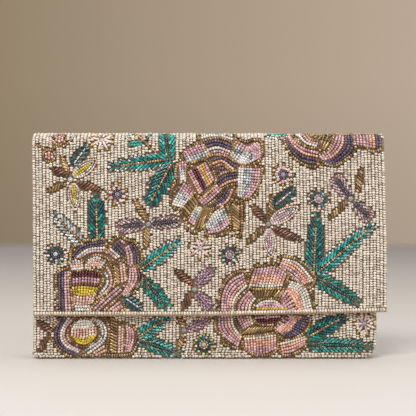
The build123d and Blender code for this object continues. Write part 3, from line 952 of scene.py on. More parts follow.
# %% The left rose
def left_rose():
    rose_ground([(-99, 72.5), (-97.5, 80.5), (-87, 85.5), (-77.5, 87), (-70, 84), (-63, 87.5),
                 (-53, 84.5), (-47.5, 77), (-46.5, 57),
                 (-51, 50), (-58, 44), (-58.5, 20.5), (-107.5, 20.5), (-108.5, 58.5), (-105, 63.5)])
    outline([(-98, 70.5), (-97.5, 77.5), (-94.5, 80.5), (-90.5, 81), (-87, 84.5), (-82, 84), (-77.5, 86),
             (-73.5, 84), (-72.5, 80.5), (-73, 75.5)])
    rows([(-91, 72), (-83.5, 76), (-74, 76.5)], [(-96.5, 73.5), (-90.5, 80), (-82.5, 82.5), (-74, 83.5)],
         [("pink", 1), ("white", 1), ("aubergine", 3)])
    outline([(-73, 75), (-70, 78), (-69.5, 82), (-66.5, 85.5), (-62.5, 87), (-58, 84.5), (-53, 83.5),
             (-50.5, 80.5),
             (-48, 76), (-47.5, 71.5), (-49.5, 67), (-56.5, 66.5)])
    rows([(-68, 78.5), (-62, 72.5)], [(-64.5, 83.5), (-59, 77)], [("aubergine", 3)])
    rows([(-71.5, 76), (-66, 71.5)], [(-69, 78), (-63.5, 73)], [("pink", 1), ("white", 1)])
    rows([(-59, 79), (-58, 73.5), (-57.5, 67.5)], [(-54, 82), (-50, 76), (-49.5, 68.5)],
         [("pink", 2), ("coral", 1), ("aubergine", 2)])
    string([(-63.5, 85), (-59.5, 82)], "pink")
    outline([(-57.5, 65.5), (-49.5, 65.5), (-47.5, 60), (-47, 56.5), (-51, 51.5), (-53, 47.5), (-61, 45.5)])
    rows([(-56, 64.5), (-57, 55), (-61, 46.5)], [(-50.5, 64.5), (-49, 56.5), (-56, 47)],
         [("pink", 2), ("coral", 1), ("aubergine", 1)])
    outline([(-107.5, 30.5), (-107, 45.5), (-108, 51.5), (-108, 59.5), (-105, 63), (-99.5, 64.5)])
    rows([(-99, 62), (-99, 50), (-97.5, 30.5)], [(-106, 61), (-106, 49), (-106, 30.5)],
         [("pink", 2), ("white", 1), ("aubergine", 2)])
    spokes([(-96.5, 63.5), (-89.5, 64.5)], [(-98.5, 68), (-94.5, 70.5), (-89.5, 68.5)],
           [("white", 1), ("peach", 1), ("silver", 1)])
    spokes([(-87, 64.5), (-77, 65)], [(-87, 69), (-80.5, 72.5), (-73, 70)],
           [("white", 1), ("peach", 2), ("silver", 1)])
    outline([(-100, 64.5), (-99, 69), (-95.5, 71.5), (-91.5, 71.5), (-88.5, 69), (-86, 71.5), (-80.5, 74),
             (-75.5, 73),
             (-70.5, 70), (-67.5, 59.5), (-67, 53), (-73.5, 45.5), (-80.5, 39.5), (-85.5, 33.5)])
    outline([(-97.5, 51.5), (-98, 61), (-90.5, 63), (-83.5, 63.5), (-77.5, 62), (-75, 58), (-75.5, 53.5),
             (-78.5, 50.5)])
    spokes([(-96, 52.5), (-87.5, 53), (-78.5, 52.5)], [(-96, 60.5), (-87.5, 62), (-77.5, 60.5)],
           [("brown", 1), ("pink", 2), ("maroon", 2)])
    spokes([(-95.5, 46.5), (-88.5, 45.5), (-81, 46.5)], [(-96.5, 51), (-88.5, 51.5), (-79, 50.5)],
           [("yellow", 3)])
    spokes([(-95.5, 39.5), (-88.5, 39), (-82.5, 40)], [(-95.5, 45), (-88.5, 44), (-81, 45.5)],
           [("peach", 3)])
    rows([(-94, 35), (-85.5, 35)], [(-94.5, 38), (-84.5, 38)], [("white", 2)])
    outline([(-97.5, 50), (-97, 44), (-96, 34)])
    outline([(-78.5, 50), (-81, 44), (-84, 34)])
    string([(-74, 61.5), (-72, 58.5), (-72, 53.5), (-74.5, 49.5), (-77.5, 46.5)], ("silver", "white"))
    string([(-72.5, 65.5), (-69.5, 59.5), (-69.5, 52.5), (-74, 47), (-80, 43)], "peach")
    bugles([(-68, 68.5), (-66, 53)], [(-64.5, 69), (-63, 54.5)], "bronze", 1.9, 0.2)
    rows([(-63, 68.5), (-62, 55)], [(-60, 67), (-58.5, 56)], [("peach", 2)])
    outline([(-58.5, 65.5), (-58.5, 55), (-62, 50)])
    rows([(-80, 32.5), (-72, 40.5), (-62, 49)], [(-82, 35.5), (-74, 43.5), (-64.5, 51.5)], [("pink", 2)])
    outline([(-75.5, 33.5), (-68.5, 40), (-61, 47)])
    rows([(-74, 32.5), (-63.5, 41)], [(-72.5, 31), (-62, 38)], [("pink", 2)])
    rows([(-69.5, 33), (-61.5, 38)], [(-67, 30.5), (-61, 34.5)], [("coral", 3)])
    outline([(-61.5, 43), (-60, 38), (-59, 33.5)])


# %% Leaves beside the left rose
def left_leaves():
    leaf((-47.5, 64.5), (-19.5, 84.5), 5.0, TURQUOISE, "gold", "silver")
    leaf((-46, 56.5), (-28.5, 36), 5.2, ("teal",), "petrol", vein="gold")
    dabbed((-60, 44), (-48, 35.5), 4.6)


# %% Daisies and the sprig on the right
def right_sprigs():
    daisy(-6.5, 78.5, "", "blush", "yellow", 7, 8.2, long=True)
    daisy(14.5, 74, "pink", "petrol", "coral", 8, 7.8)
    daisy(52, 130.5, reach=7.9)
    daisy(77, 113.5, "pink", "petrol", "coral", 8, 7.8)
    cup(41.5, 95.5)
    veined((42.5, 96.5), (63, 108), 8.6, RAYS_PINK)
    veined((41.5, 93), (43.5, 71.5), 8.4, RAYS_PINK)
    hatched((40, 97.5), (29.5, 109.5), 6.0)
    hatched((45, 93), (65, 83.5), 6.6)
    hatched((42, 99.5), (45, 116.5), 4.6, "bronze")
    hatched((39, 92.5), (25, 82), 4.6, "bronze")
    dabbed((45, 108), (59.5, 120), 6.2)
    cup(99.5, 113.5)
    feather((99, 114.5), (86.5, 130.5), 10.4)
    feather((100.5, 112), (115, 98), 9.4)
    hatched((104, 118), (107.5, 135.5), 5.0, "bronze")
    hatched((97, 111.5), (84, 99.5), 5.0, "bronze")


# %% Leaves on the right
def right_leaves():
    leaf((73.5, 61), (75.5, 102.5), 6.4, reach=0.78)
    leaf((76, 61), (116.5, 96), 5.2, TURQUOISE, "gold", "silver")
    leaf((74.5, 58.5), (106, 39.5), 5.6, ("teal",), "petrol", vein="gold")


# %% The rose at the hem
def hem_rose():
    rose_ground([(7, 29), (7, 45.5), (10.5, 55), (15, 61), (25, 62), (30, 65.5), (37, 67), (43.5, 69),
                 (48.5, 70.5),
                 (52.5, 73.5), (59.5, 71.5), (68.5, 66.5), (75, 58.5), (72, 51.5), (74.5, 29)])
    outline([(7, 27.5), (7, 44), (10.5, 54), (15, 59.5), (20, 62), (25, 62), (27, 58)])
    rows([(17.5, 29), (17.5, 41.5), (26, 52)], [(8.5, 29), (9.5, 45.5), (14.5, 55.5), (23.5, 60.5)],
         [("white", 1), ("coral", 2), ("pink", 3)])
    outline([(18.5, 29), (18.5, 40.5), (26, 48.5), (28, 50)])
    outline([(27, 54.5), (28, 60), (30.5, 64.5), (33.5, 66.5), (38.5, 66), (43.5, 68.5), (47.5, 66),
             (54.5, 62),
             (55.5, 58), (52.5, 52.5)])
    spokes([(28.5, 52.5), (40, 51.5), (51, 52.5)], [(32, 64), (39, 64.5), (46, 65.5), (54, 60.5)],
           [("white", 1), ("coral", 2), ("pink", 2)])
    outline([(27.5, 51.5), (30.5, 50), (40.5, 50), (51, 50.5)])
    bugles([(33.5, 44), (41.5, 44.5), (49, 44)], [(30, 49), (41.5, 49), (52, 49)], "bronze", 2.1, 0.06)
    outline([(48.5, 68), (49, 71.5), (52.5, 73), (60, 71.5), (65, 68.5), (68.5, 66.5), (72, 62), (74.5, 58),
             (72.5, 52.5), (69.5, 51), (65, 52.5)])
    rows([(49.5, 65.5), (57.5, 59.5), (65, 53)], [(52, 71), (62.5, 68), (73, 56)],
         [("pink", 2), ("coral", 1), ("white", 1)])
    outline([(55.5, 62), (56.5, 58), (61.5, 56.5), (65, 53)])
    outline([(70, 51), (72, 46.5), (73.5, 40.5), (74, 29)])
    spokes([(51, 43), (53, 38), (56.5, 32)], [(58, 55), (67.5, 50.5), (72.5, 33.5)],
           [("pink", 3), ("coral", 3), ("white", 3)])
    outline([(52.5, 51), (51, 45.5)])
    rows([(29, 29), (29, 38), (32, 43)], [(20, 29), (21, 39.5), (28, 48)],
         [("white", 1), ("coral", 2), ("pink", 2)])
    outline([(30.5, 29), (30.5, 36), (35.5, 42.5), (42, 43), (49, 42.5), (52.5, 38), (56, 32)])
    string([(33, 37.5), (37, 40.5), (42.5, 41.5), (47.5, 40.5), (52, 36)], "white")
    spokes([(33.5, 37), (54, 37)], [(35, 38.5), (42.5, 40), (51, 38)], [("pink", 2)])
    string([(33, 36), (54.5, 36)], "yellow")
    string([(33, 34), (54.5, 34)], "pink")
    string([(32, 32), (54.5, 32)], "maroon")


# %% The sprig below the middle rose
def low_sprig():
    cup(-10.5, 49.5)
    hatched((-12, 52.5), (-25, 64.5), 6.6)
    hatched((-11.5, 46.5), (-20.5, 36), 6.2)
    feather((-9.5, 51.5), (2.5, 65.5), 8.0, ("mauve", "pink", "mauve"))
    feather((-9.5, 47.5), (2.5, 33.5), 8.0, ("mauve", "pink", "mauve"))

# %% [markdown]
# ## The band on the front wall
# Under the hem the front wall shows a narrow band with flowers of its own, cut from the same
# kind of cloth but not matched to the flap. Its beads stop a little way up, where the closed
# flap hides the wall.

# %% Flowers of the band
def band_left():
    hatched((-113, 19), (-121.5, 27.5), 5.2)
    hatched((-114.5, 14.5), (-121.5, 5), 5.2)
    rose_ground([(-108.5, 33.5), (-73, 33.5), (-58.5, 26.5), (-53, 22), (-49, 15), (-51.5, 10),
                 (-55, 3.5), (-74, 2.5), (-85.5, 3),
                 (-96, 1.5), (-104, 3.5), (-110.5, 12), (-113.5, 17), (-110, 22.5)])
    outline([(-108.5, 30.5), (-107.5, 26.5), (-110.5, 22.5), (-113.5, 17), (-110.5, 12), (-107.5, 7),
             (-103, 3.5), (-96, 1.5), (-89, 2.5),
             (-85.5, 3), (-80.5, 1.5), (-74, 3), (-68.5, 2.5), (-62, 2.5), (-55, 4), (-51.5, 10),
             (-49, 15), (-53, 21.5),
             (-59, 25)])
    rows([(-96, 29), (-101.5, 22.5), (-103, 15.5), (-99, 9.5), (-92, 6)],
         [(-106.5, 29), (-108.5, 21.5), (-109.5, 15), (-105.5, 7.5), (-95.5, 3)],
         [("pink", 1), ("white", 1), ("aubergine", 2)])
    outline([(-90.5, 29), (-99, 22.5), (-100.5, 15.5), (-97.5, 11.5), (-88.5, 8.5), (-79.5, 13.5),
             (-77.5, 20.5), (-82, 27), (-89, 29.5)])
    spokes([(-96.5, 22.5), (-89.5, 22), (-82, 23.5)], [(-95.5, 26), (-89.5, 27.5), (-84, 26.5)],
           [("white", 2)])
    spokes([(-98, 16.5), (-88.5, 15.5), (-80, 18)], [(-97.5, 21.5), (-89.5, 21.5), (-80.5, 22)],
           [("peach", 3)])
    spokes([(-94, 12), (-88.5, 10.5), (-84, 12.5)], [(-96.5, 15.5), (-88.5, 14.5), (-80.5, 17)],
           [("yellow", 3)])
    rows([(-86, 28.5), (-79, 25.5), (-76.5, 20), (-77.5, 13.5), (-84, 9), (-88.5, 6.5)],
         [(-82.5, 29), (-76.5, 26.5), (-73, 20), (-74.5, 13), (-81, 7), (-85.5, 3.5)],
         [("silver", 1), ("white", 1)])
    rows([(-82, 4.5), (-75, 9.5)], [(-80, 2.5), (-74, 5)], [("peach", 2)])
    outline([(-74, 30), (-71, 20), (-72.5, 9.5), (-74, 3.5)])
    bugles([(-70, 29), (-70.5, 4.5)], [(-65, 29), (-66, 4.5)], "bronze", 2.0, 0.1)
    rows([(-64, 22.5), (-64.5, 4.5)], [(-61, 23.5), (-61.5, 5)], [("peach", 2)])
    outline([(-62, 25), (-60, 15), (-61, 3.5)])
    rows([(-59, 23.5), (-58.5, 15), (-59.5, 5)], [(-53, 20), (-51.5, 14.5), (-55, 6)],
         [("pink", 2), ("coral", 1), ("aubergine", 1)])
    leaf((-51, 15), (-28.5, 30), 4.8, TURQUOISE, "gold", "silver")
    leaf((-49, 13), (-21.5, 3.5), 5.0, ("teal",), "petrol", vein="gold")
    cup(-18, 20)
    hatched((-18.5, 22), (-21.5, 31), 4.6, "bronze")
    hatched((-18.5, 17), (-22, 6.5), 4.6, "bronze")
    feather((-16.5, 20.5), (2.5, 30), 7.4, ("mauve", "pink", "pink"))
    daisy(-4, 10, "gold", "petrol", "yellow", 9, 7.4)


# %% The band's rose and leaves
def band_right():
    rose_ground([(4.5, 34.5), (4.5, 21.5), (9.5, 16.5), (10.5, 10), (16.5, 8.5), (23.5, 7.5), (29.5, 3.5),
                 (37, 2.5), (45, 3.5),
                 (54.5, 2), (61.5, 4), (68, 8.5), (68, 18.5), (71.5, 25), (72, 34.5)])
    outline([(4.5, 32), (4.5, 21), (9.5, 16.5), (10.5, 10.5), (16.5, 8.5), (22, 7.5), (23.5, 13)])
    rows([(16, 30.5), (17.5, 22.5), (22.5, 15.5)], [(6.5, 30.5), (7, 21.5), (12.5, 14.5), (20, 9.5)],
         [("white", 1), ("coral", 2), ("pink", 3)])
    outline([(17.5, 30.5), (19.5, 24), (22, 20), (22, 16.5)])
    rows([(29.5, 30), (30.5, 25)], [(19.5, 30), (24, 21.5)], [("white", 1), ("coral", 1), ("pink", 2)])
    outline([(30, 30.5), (34, 25), (42, 24), (49, 25.5), (53, 31)])
    spokes([(33.5, 25.5), (41.5, 25), (49, 26.5)], [(32, 31), (41.5, 32.5), (50.5, 32)],
           [("maroon", 2), ("pink", 2), ("maroon", 1)])
    bugles([(23, 17.5), (43.5, 20)], [(27, 22), (45, 23)], "bronze", 2.1, 0.12)
    outline([(22, 15.5), (36.5, 16.5), (45.5, 18.5)])
    spokes([(25, 14.5), (36.5, 15.5), (47, 17)], [(26, 6.5), (36.5, 3.5), (47, 7.5)],
           [("white", 1), ("coral", 2), ("pink", 2)])
    outline([(23.5, 13), (24.5, 7.5), (30.5, 3.5), (37, 2.5), (44, 3.5), (48.5, 8), (48.5, 16.5)])
    spokes([(46.5, 22), (56, 31)], [(54.5, 15.5), (64, 18.5), (71, 29)],
           [("pink", 3), ("coral", 3), ("aubergine", 4)])
    outline([(45.5, 22), (51, 14.5), (56.5, 13.5), (65, 17), (70, 22), (72, 30.5)])
    rows([(50.5, 11), (58, 13), (67.5, 15.5)], [(52, 4), (59.5, 5.5), (67.5, 10.5)],
         [("white", 1), ("coral", 2), ("pink", 1)])
    outline([(49, 8), (51, 3.5), (54.5, 2.5), (61, 4), (68, 8.5), (68.5, 15)])
    leaf((70, 15.5), (97.5, 31), 5.6)
    leaf((70, 10.5), (115, 8.5), 5.4, ("teal",), "petrol", vein="gold")
    daisy(110, 25, "aubergine", "blush", "yellow", 7, 8.6, long=True)


# %% [markdown]
# ## Drawing each side
# The flap, the fold and the back are one length of cloth. The back repeats the flap's plants
# turned half round, so that they stand upright from behind, and the fold's rose and leaf are
# shared by both sides. The drawing of each side ends with its list of beads, the shapes that
# its plants cover, and the places of its cup beads.

# %% Draw the flap, the back and the band
BACK_TURN = BACK_START + FOLD_BASE
EDGE_MARGIN = 0.3


def turned():
    """Turn what has been drawn half round and lay it on the back."""
    global layout, covered, cups, grounds
    layout = [(c, -x, BACK_TURN - h, a + math.pi, *rest) for c, x, h, a, *rest in layout]
    covered = [np.array((0, BACK_TURN)) - shape for shape in covered]
    grounds = [(np.array((0, BACK_TURN)) - shape, colour) for shape, colour in grounds]
    cups = [(-x, BACK_TURN - h) for x, h in cups]


def take():
    """Hand over what has been drawn and start an empty sheet."""
    global layout, covered, cups, grounds
    drawn = layout, covered, cups, grounds
    layout, covered, cups, grounds = [], [], [], []
    return drawn


def flap_left(h):
    """The long cloth's left edge."""
    back = np.clip(FOLD_BASE - (h - BACK_START), 0, 400)
    low_left = LEFT + np.clip(FOLD_BASE - h, 0, 200) / 120
    return np.where(h > BACK_START, body_left(back), low_left)


def flap_right(h):
    """The long cloth's right edge."""
    back = np.clip(FOLD_BASE - (h - BACK_START), 0, 400)
    right = np.where(h > FOLD_BASE, RIGHT_HIGH, right_edge(h))
    return np.where(h > BACK_START, body_right(back), right)


def hem_line(x):
    """The hem's height, which rises a little on the right."""
    return HEM + HEM_RISE * np.clip(x / FLAP_RIGHT, 0, 1)


def kept(work, low, high, left=flap_left, right=flap_right):
    """Only the part of a drawing between two places along the cloth, and between its edges."""
    beads, shapes, centres, backings = work
    x, h, angle, length, radius = np.array([bead[1:6] for bead in beads], float).T
    reach = EDGE_MARGIN + np.abs(np.cos(angle)) * length / 2 + np.abs(np.sin(angle)) * radius
    stays = (h >= low) & (h <= high) & (x > left(h) + reach) & (x < right(h) - reach)
    inner = [bead for bead, stay in zip(beads, stays) if stay]
    shapes = [np.clip(shape, (-999, low), (999, high)) for shape in shapes]
    backings = [(np.clip(shape, (-999, low), (999, high)), colour) for shape, colour in backings]
    return inner, shapes, [c for c in centres if low <= c[1] <= high], backings


def joined(*works):
    """Several drawings as one."""
    return tuple(sum((work[i] for work in works), []) for i in range(4))


def low_plants():
    """The plants that the flap and the back share."""
    for plant in (left_sprigs, winged_flower, left_rose, left_leaves, right_sprigs, right_leaves,
                  hem_rose, low_sprig, middle_rose):
        plant()


HEM_ROW = 3.6
BEAD_END = 1.0
low_plants()
leaf_trio()
top_sprigs()
fold_rose()
flap_work = kept(take(), HEM + HEM_ROW, BACK_START + 20)

low_plants()
leaf_trio()
turned()
back_work = kept(take(), FOLD_MIDDLE, BACK_TURN - HEM)

band_left()
band_right()
band_work = kept(take(), BEAD_END + 0.8, BAND_TOP, body_left, body_right)
band_left()
band_right()
turned()
back_band_work = kept(take(), BACK_TURN - HEM, BACK_TURN - BEAD_END - 0.8)

cloth_work = joined(flap_work, back_work, back_band_work)
for name, work in (("flap and back", cloth_work), ("band", band_work)):
    print(name, len(work[0]), "motif beads", len(work[1]), "petals")

# %% [markdown]
# ## The ground
# The ground is sewn as strings of pearl beads that run up and down, close together. A string
# stops where a motif begins and starts again past it, and where a narrow strip of cloth is left
# beside a motif, a smaller bead is moved sideways into it. Each string drifts a little sideways,
# and no two beads are quite the same size, because that unevenness is what tells hand work
# from a printed pattern.

# %% Strings of pearl beads between the motifs
STRING_GAP = 2.42
GROUND_PITCH = 1.72
GROUND_RADIUS = 1.17
EDGE_STRING = 1.15


def inside(points, shape):
    """Which points lie inside a closed outline."""
    x, y = points[:, 0], points[:, 1]
    result = np.zeros(len(points), bool)
    for (x1, y1), (x2, y2) in zip(shape, np.roll(shape, -1, axis=0)):
        crosses = (y1 > y) != (y2 > y)
        with np.errstate(divide="ignore", invalid="ignore"):
            at = (x2 - x1) * (y - y1) / (y2 - y1) + x1
        result ^= crosses & (x < at)
    return result


def ground(work, left, right, low, high):
    """Fill the cloth between motifs: string after string, from low (a function of x) to high."""
    drawn, shapes, centres, backings = work
    shapes = shapes + [shape + (shape.mean(0) - shape) * 0.06 for shape, colour in backings]
    tree = KDTree(max(len(drawn), 1) + len(centres))
    for i, (colour, x, h, angle, length, radius, kind) in enumerate(drawn):
        tree.insert((x, h, 0), i)
    for i, (x, h) in enumerate(centres):
        tree.insert((x, h, 0), len(drawn) + i)
    tree.balance()

    def touching(x, h):
        """Whether a bead here would push against a motif's beads."""
        for (_, which, _) in tree.find_range((x, h, 0), 5.5):
            if which >= len(drawn):
                cx, ch = centres[which - len(drawn)]
                if math.hypot(x - cx, h - ch) < 3.1:
                    return True
                continue
            colour, bx, bh, angle, length, radius, kind = drawn[which]
            along_it = (x - bx) * math.cos(angle) + (h - bh) * math.sin(angle)
            across = abs((h - bh) * math.cos(angle) - (x - bx) * math.sin(angle))
            beyond = max(abs(along_it) - length / 2, 0)
            if math.hypot(across, beyond) < (radius + 1.0) * 0.78:
                return True
        return False

    beads = []
    widest_right = float(np.max(right(np.linspace(low(0.0), high, 60))))
    first_string, last_string = LEFT + EDGE_STRING, widest_right - EDGE_STRING
    for x0 in np.linspace(first_string, last_string, round((last_string - first_string) / STRING_GAP) + 1):
        drift, phase = rng.uniform(0.05, 0.2), rng.uniform(0, 6.28)
        first = low(x0)
        count = round((high - first) / GROUND_PITCH)
        h = first + (np.arange(count) + 0.5) * (high - first) / count
        shift = rng.uniform(-0.9, 0.9) * np.clip(np.minimum(h - first, high - h) / 15, 0, 1)
        h = h + rng.normal(0, 0.08, count) + shift
        x = x0 + drift * np.sin(h / 17 + phase) + rng.normal(0, 0.06, count)
        share = (x0 - LEFT) / (widest_right - LEFT)
        lean = (1 - share) * np.clip(left(h) - LEFT, -2, 2) + share * np.clip(right(h) - widest_right, -5, 2)
        x = x + lean
        keep = (x > left(h) + 0.8) & (x < right(h) - 0.8) & (h > first) & (h < high)
        x, h = x[keep], h[keep]
        if len(x):
            beads.append(np.stack([x, h], 1))
    beads = np.vstack(beads)

    def clear(points):
        """Which points lie outside every motif's outline."""
        free = np.ones(len(points), bool)
        for shape in shapes:
            near = (points >= shape.min(0) - 1).all(1) & (points <= shape.max(0) + 1).all(1)
            free[near] &= ~inside(points[near], shape)
        return free

    crowded = []
    placed = []
    for x, h in beads[clear(beads)]:
        (crowded if touching(x, h) else placed).append((x, h))
    sewn = []
    for x, h in placed:
        size = rng.normal(1, 0.05)
        lean = math.pi / 2 + rng.normal(0, 0.08)
        sewn.append(("ivory", x, h, lean, GROUND_PITCH * 0.96 * size, GROUND_RADIUS * size, "seed"))
    sites = np.zeros((len(beads), 2))
    sites[:len(placed)] = placed
    for aside in (0.45, -0.45, 0.85, -0.85, 1.25, -1.25):
        tries = np.array(crowded).reshape(-1, 2) + (aside, 0)
        on_cloth = (tries[:, 0] > left(tries[:, 1]) + 1) & (tries[:, 0] < right(tries[:, 1]) - 1)
        tries = tries[clear(tries) & on_cloth]
        for x, h in tries:
            gaps = (sites[:len(sewn)] - (x, h)) / (2.0, 1.6)
            if (gaps * gaps).sum(1).min() > 0.96 and not touching(x, h):
                sites[len(sewn)] = x, h
                lean = math.pi / 2 + rng.normal(0, 0.15)
                sewn.append(("ivory", x, h, lean, GROUND_PITCH * 0.92, GROUND_RADIUS * 0.88, "seed"))
    return sewn


def fill_gaps(work, pitch=1.5):
    """Small gold beads wherever a rose's petals leave cloth bare between them."""
    drawn, shapes, centres, backings = work
    dots = []
    for bead in drawn:
        colour, x, h, angle, length, radius, kind = bead
        for k in (-0.33, 0, 0.33) if kind == "bugle" else (-0.2, 0.2):
            dots.append((x + math.cos(angle) * length * k, h + math.sin(angle) * length * k, radius, angle))
    tree = KDTree(len(dots) + 20000)
    for i, dot in enumerate(dots):
        tree.insert((dot[0], dot[1], 0), i)
    tree.balance()
    added = []
    for shape, colour in backings:
        low, high = shape.min(0), shape.max(0)
        across, along = np.meshgrid(np.arange(low[0], high[0], pitch), np.arange(low[1], high[1], pitch))
        spots = np.stack([across.ravel(), along.ravel()], 1)
        spots = spots[inside(spots, shape)]
        for x, h in spots:
            near = tree.find_n((x, h, 0), 3)
            if any(distance < dots[which][2] + 0.72 for _, which, distance in near):
                continue
            if any(math.hypot(x - bead[1], h - bead[2]) < 1.55 for bead in added[-90:]):
                continue
            angle = dots[near[0][1]][3] if near else 0.0
            added.append((colour, x, h, angle, 1.6, 0.9, "seed"))
    print("gaps filled with", len(added), "gold beads")
    return added


cloth_ground = ground(cloth_work, flap_left, flap_right, lambda x: hem_line(x) + HEM_ROW,
                      BACK_START + FOLD_BASE - BEAD_END)
band_ground = ground(band_work, body_left, body_right, lambda x: BEAD_END, BAND_TOP)
cloth_work[0].extend(fill_gaps(cloth_work))
band_work[0].extend(fill_gaps(band_work))
under_ground = ground(([], [], [], []), lambda h: np.full(h.shape, LEFT),
                      lambda h: np.full(h.shape, RIGHT_LOW_EDGE - 3.0),
                      lambda x: UNDER_LEG + UNDER_ARC * 0.7, UNDER_LENGTH - UNDER_LEG - UNDER_ARC * 0.7)
print("ground beads", len(cloth_ground), len(band_ground), len(under_ground))

# %% [markdown]
# ## Sewing the beads on
# Now the lists become meshes. `strew` lays one bead shape at every place at once: it turns the
# unit bead's points with each bead's own three directions, which is far quicker than copying
# objects. Beads that go over the fold follow its curve. The cloth is sewn in two halves, one for
# the flap and the front half of the fold and one for the back and the rest of the fold, and each
# half has one mesh for each colour.

# %% Meshes of many beads
def shape_points(shape, points, axes, outs, lengths, radii):
    """Every bead's points: a unit shape set at each place."""
    sides = np.cross(outs, axes)
    unit = shape[0]
    placed = points[:, None, :] + (
        unit[None, :, 0:1] * sides[:, None, :] * radii[:, None, None]
        + unit[None, :, 1:2] * outs[:, None, :] * radii[:, None, None]
        + unit[None, :, 2:3] * axes[:, None, :] * lengths[:, None, None]
    )
    return placed.reshape(-1, 3)


def store(piece, **layers):
    """Gives each vertex of a piece its value under each name."""
    for label, values in layers.items():
        layer = piece.data.attributes.new(label, "FLOAT", "POINT")
        layer.data.foreach_set("value", np.asarray(values, np.float32))


def mesh_object(name, points, faces):
    """A mesh object from points in millimetres and a list of face arrays."""
    mesh = bpy.data.meshes.new(name)
    counts = np.concatenate([np.full(len(block), block.shape[1], np.int32) for block in faces])
    corners = np.concatenate([block.ravel() for block in faces]).astype(np.int32)
    mesh.vertices.add(len(points))
    mesh.vertices.foreach_set("co", (np.asarray(points) * MM).astype(np.float32).ravel())
    mesh.loops.add(len(corners))
    mesh.loops.foreach_set("vertex_index", corners)
    mesh.polygons.add(len(counts))
    starts = np.concatenate([[0], np.cumsum(counts)[:-1]]).astype(np.int32)
    mesh.polygons.foreach_set("loop_start", starts)
    mesh.update(calc_edges=True)
    mesh.validate()
    piece = bpy.data.objects.new(name, mesh)
    bpy.context.scene.collection.objects.link(piece)
    return piece


def strew(name, beads, surface, material):
    """One mesh of all these beads, laid on a surface."""
    blocks, faces, tones, ends = [], [], [], []
    first = 0
    for kind, shape in (("seed", SEED), ("bugle", BUGLE)):
        chosen = [bead for bead in beads if bead[6] == kind]
        if not chosen:
            continue
        x, h, angle, length, radius = (np.array([bead[i] for bead in chosen], float) for i in range(1, 6))
        point, up, out = surface(x, h, radius * 0.98)
        axis = up * np.sin(angle)[:, None]
        axis[:, 0] += np.cos(angle)
        axis /= np.linalg.norm(axis, axis=1)[:, None]
        tip = axis + out * rng.normal(0, 0.045, len(x))[:, None]
        tip /= np.linalg.norm(tip, axis=1)[:, None]
        out = out - tip * (out * tip).sum(1)[:, None]
        out /= np.linalg.norm(out, axis=1)[:, None]
        point = point + out * rng.normal(0, 0.07, len(x))[:, None]
        blocks.append(shape_points(shape, point, tip, out, length, radius))
        offsets = first + np.arange(len(x)) * len(shape[0])
        for part in shape[1:]:
            faces.append((part[None] + offsets[:, None, None]).reshape(-1, part.shape[1]))
        first += len(x) * len(shape[0])
        evenness = 2.0 if material is packets["ivory"] else 1.1
        tones.append(np.repeat(rng.beta(evenness, evenness, len(x)), len(shape[0])))
        # The end mask, stored as along, marks where the bead finish paints shade on the bevelled ends.
        ends.append(np.tile((np.abs(shape[0][:, 2]) > 0.49).astype(float), len(x)))
    piece = mesh_object(name, np.vstack(blocks), faces)
    store(piece, tone=np.concatenate(tones), along=np.concatenate(ends))
    piece.data.materials.append(material)
    deselect()
    piece.select_set(True)
    bpy.context.view_layer.objects.active = piece
    bpy.ops.object.shade_smooth_by_angle(angle=math.radians(48))
    return piece


def on_flap(piece):
    """Half the long cloth: the front half of the fold at the top and the flap below. Its transform is baked
    into its points.
    """
    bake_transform(piece)


def on_back(piece):
    """The other half: the body below and the fold at the top."""
    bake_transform(piece)


def on_front(piece):
    """The front wall; its lowest rows are sewn to the floor's edge. The transform is baked into its points.
    """
    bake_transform(piece)


MOST_IN_ONE = 3300


def sew(region, beads, surface, hold):
    """All the beads of one region, a mesh for each colour, none too heavy to edit."""
    made = {}
    for colour in sorted({bead[0] for bead in beads}):
        chosen = [bead for bead in beads if bead[0] == colour]
        parts = math.ceil(len(chosen) / MOST_IN_ONE)
        for i in range(parts):
            share = chosen[i * len(chosen) // parts:(i + 1) * len(chosen) // parts]
            label = f"{region}_{colour}_beads" + (f"_{i + 1}" if parts > 1 else "")
            piece = strew(label, share, surface, packets[colour])
            hold(piece)
            made.setdefault(colour, piece)
    print(region, len(beads), "beads in", len(made), "colours, ivory", sum(b[0] == "ivory" for b in beads))
    return made


# %% Sew the flap, the back, the band and the underside
cloth_beads = cloth_work[0] + cloth_ground
flap_beads = sew("flap", [bead for bead in cloth_beads if bead[2] < FOLD_MIDDLE], lie_on, on_flap)
back_beads = sew("back", [bead for bead in cloth_beads if bead[2] >= FOLD_MIDDLE], lie_on, on_back)
band_beads = sew("band", band_work[0] + band_ground, lie_on_front, on_front)
under_beads = sew("under", under_ground, lie_under, lambda piece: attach(piece, "body"))
string([(x, float(hem_line(x)) + 2.35) for x in np.linspace(LEFT + 1.6, FLAP_RIGHT - 1.2, 30)],
       "ivory", 1.28, 1.95, straight=True)
hem_row = take()[0]
hem_beads = sew("hem", hem_row, lie_on, lambda piece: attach(piece, "flap"))

# %% [markdown]
# ## Cup beads
# A flower's centre is a cup of clear glass held down by a tiny pearl. One cup is modelled from
# a sphere: its top is pressed in by insetting the upper faces and pushing them down, and then
# it is copied to every centre.

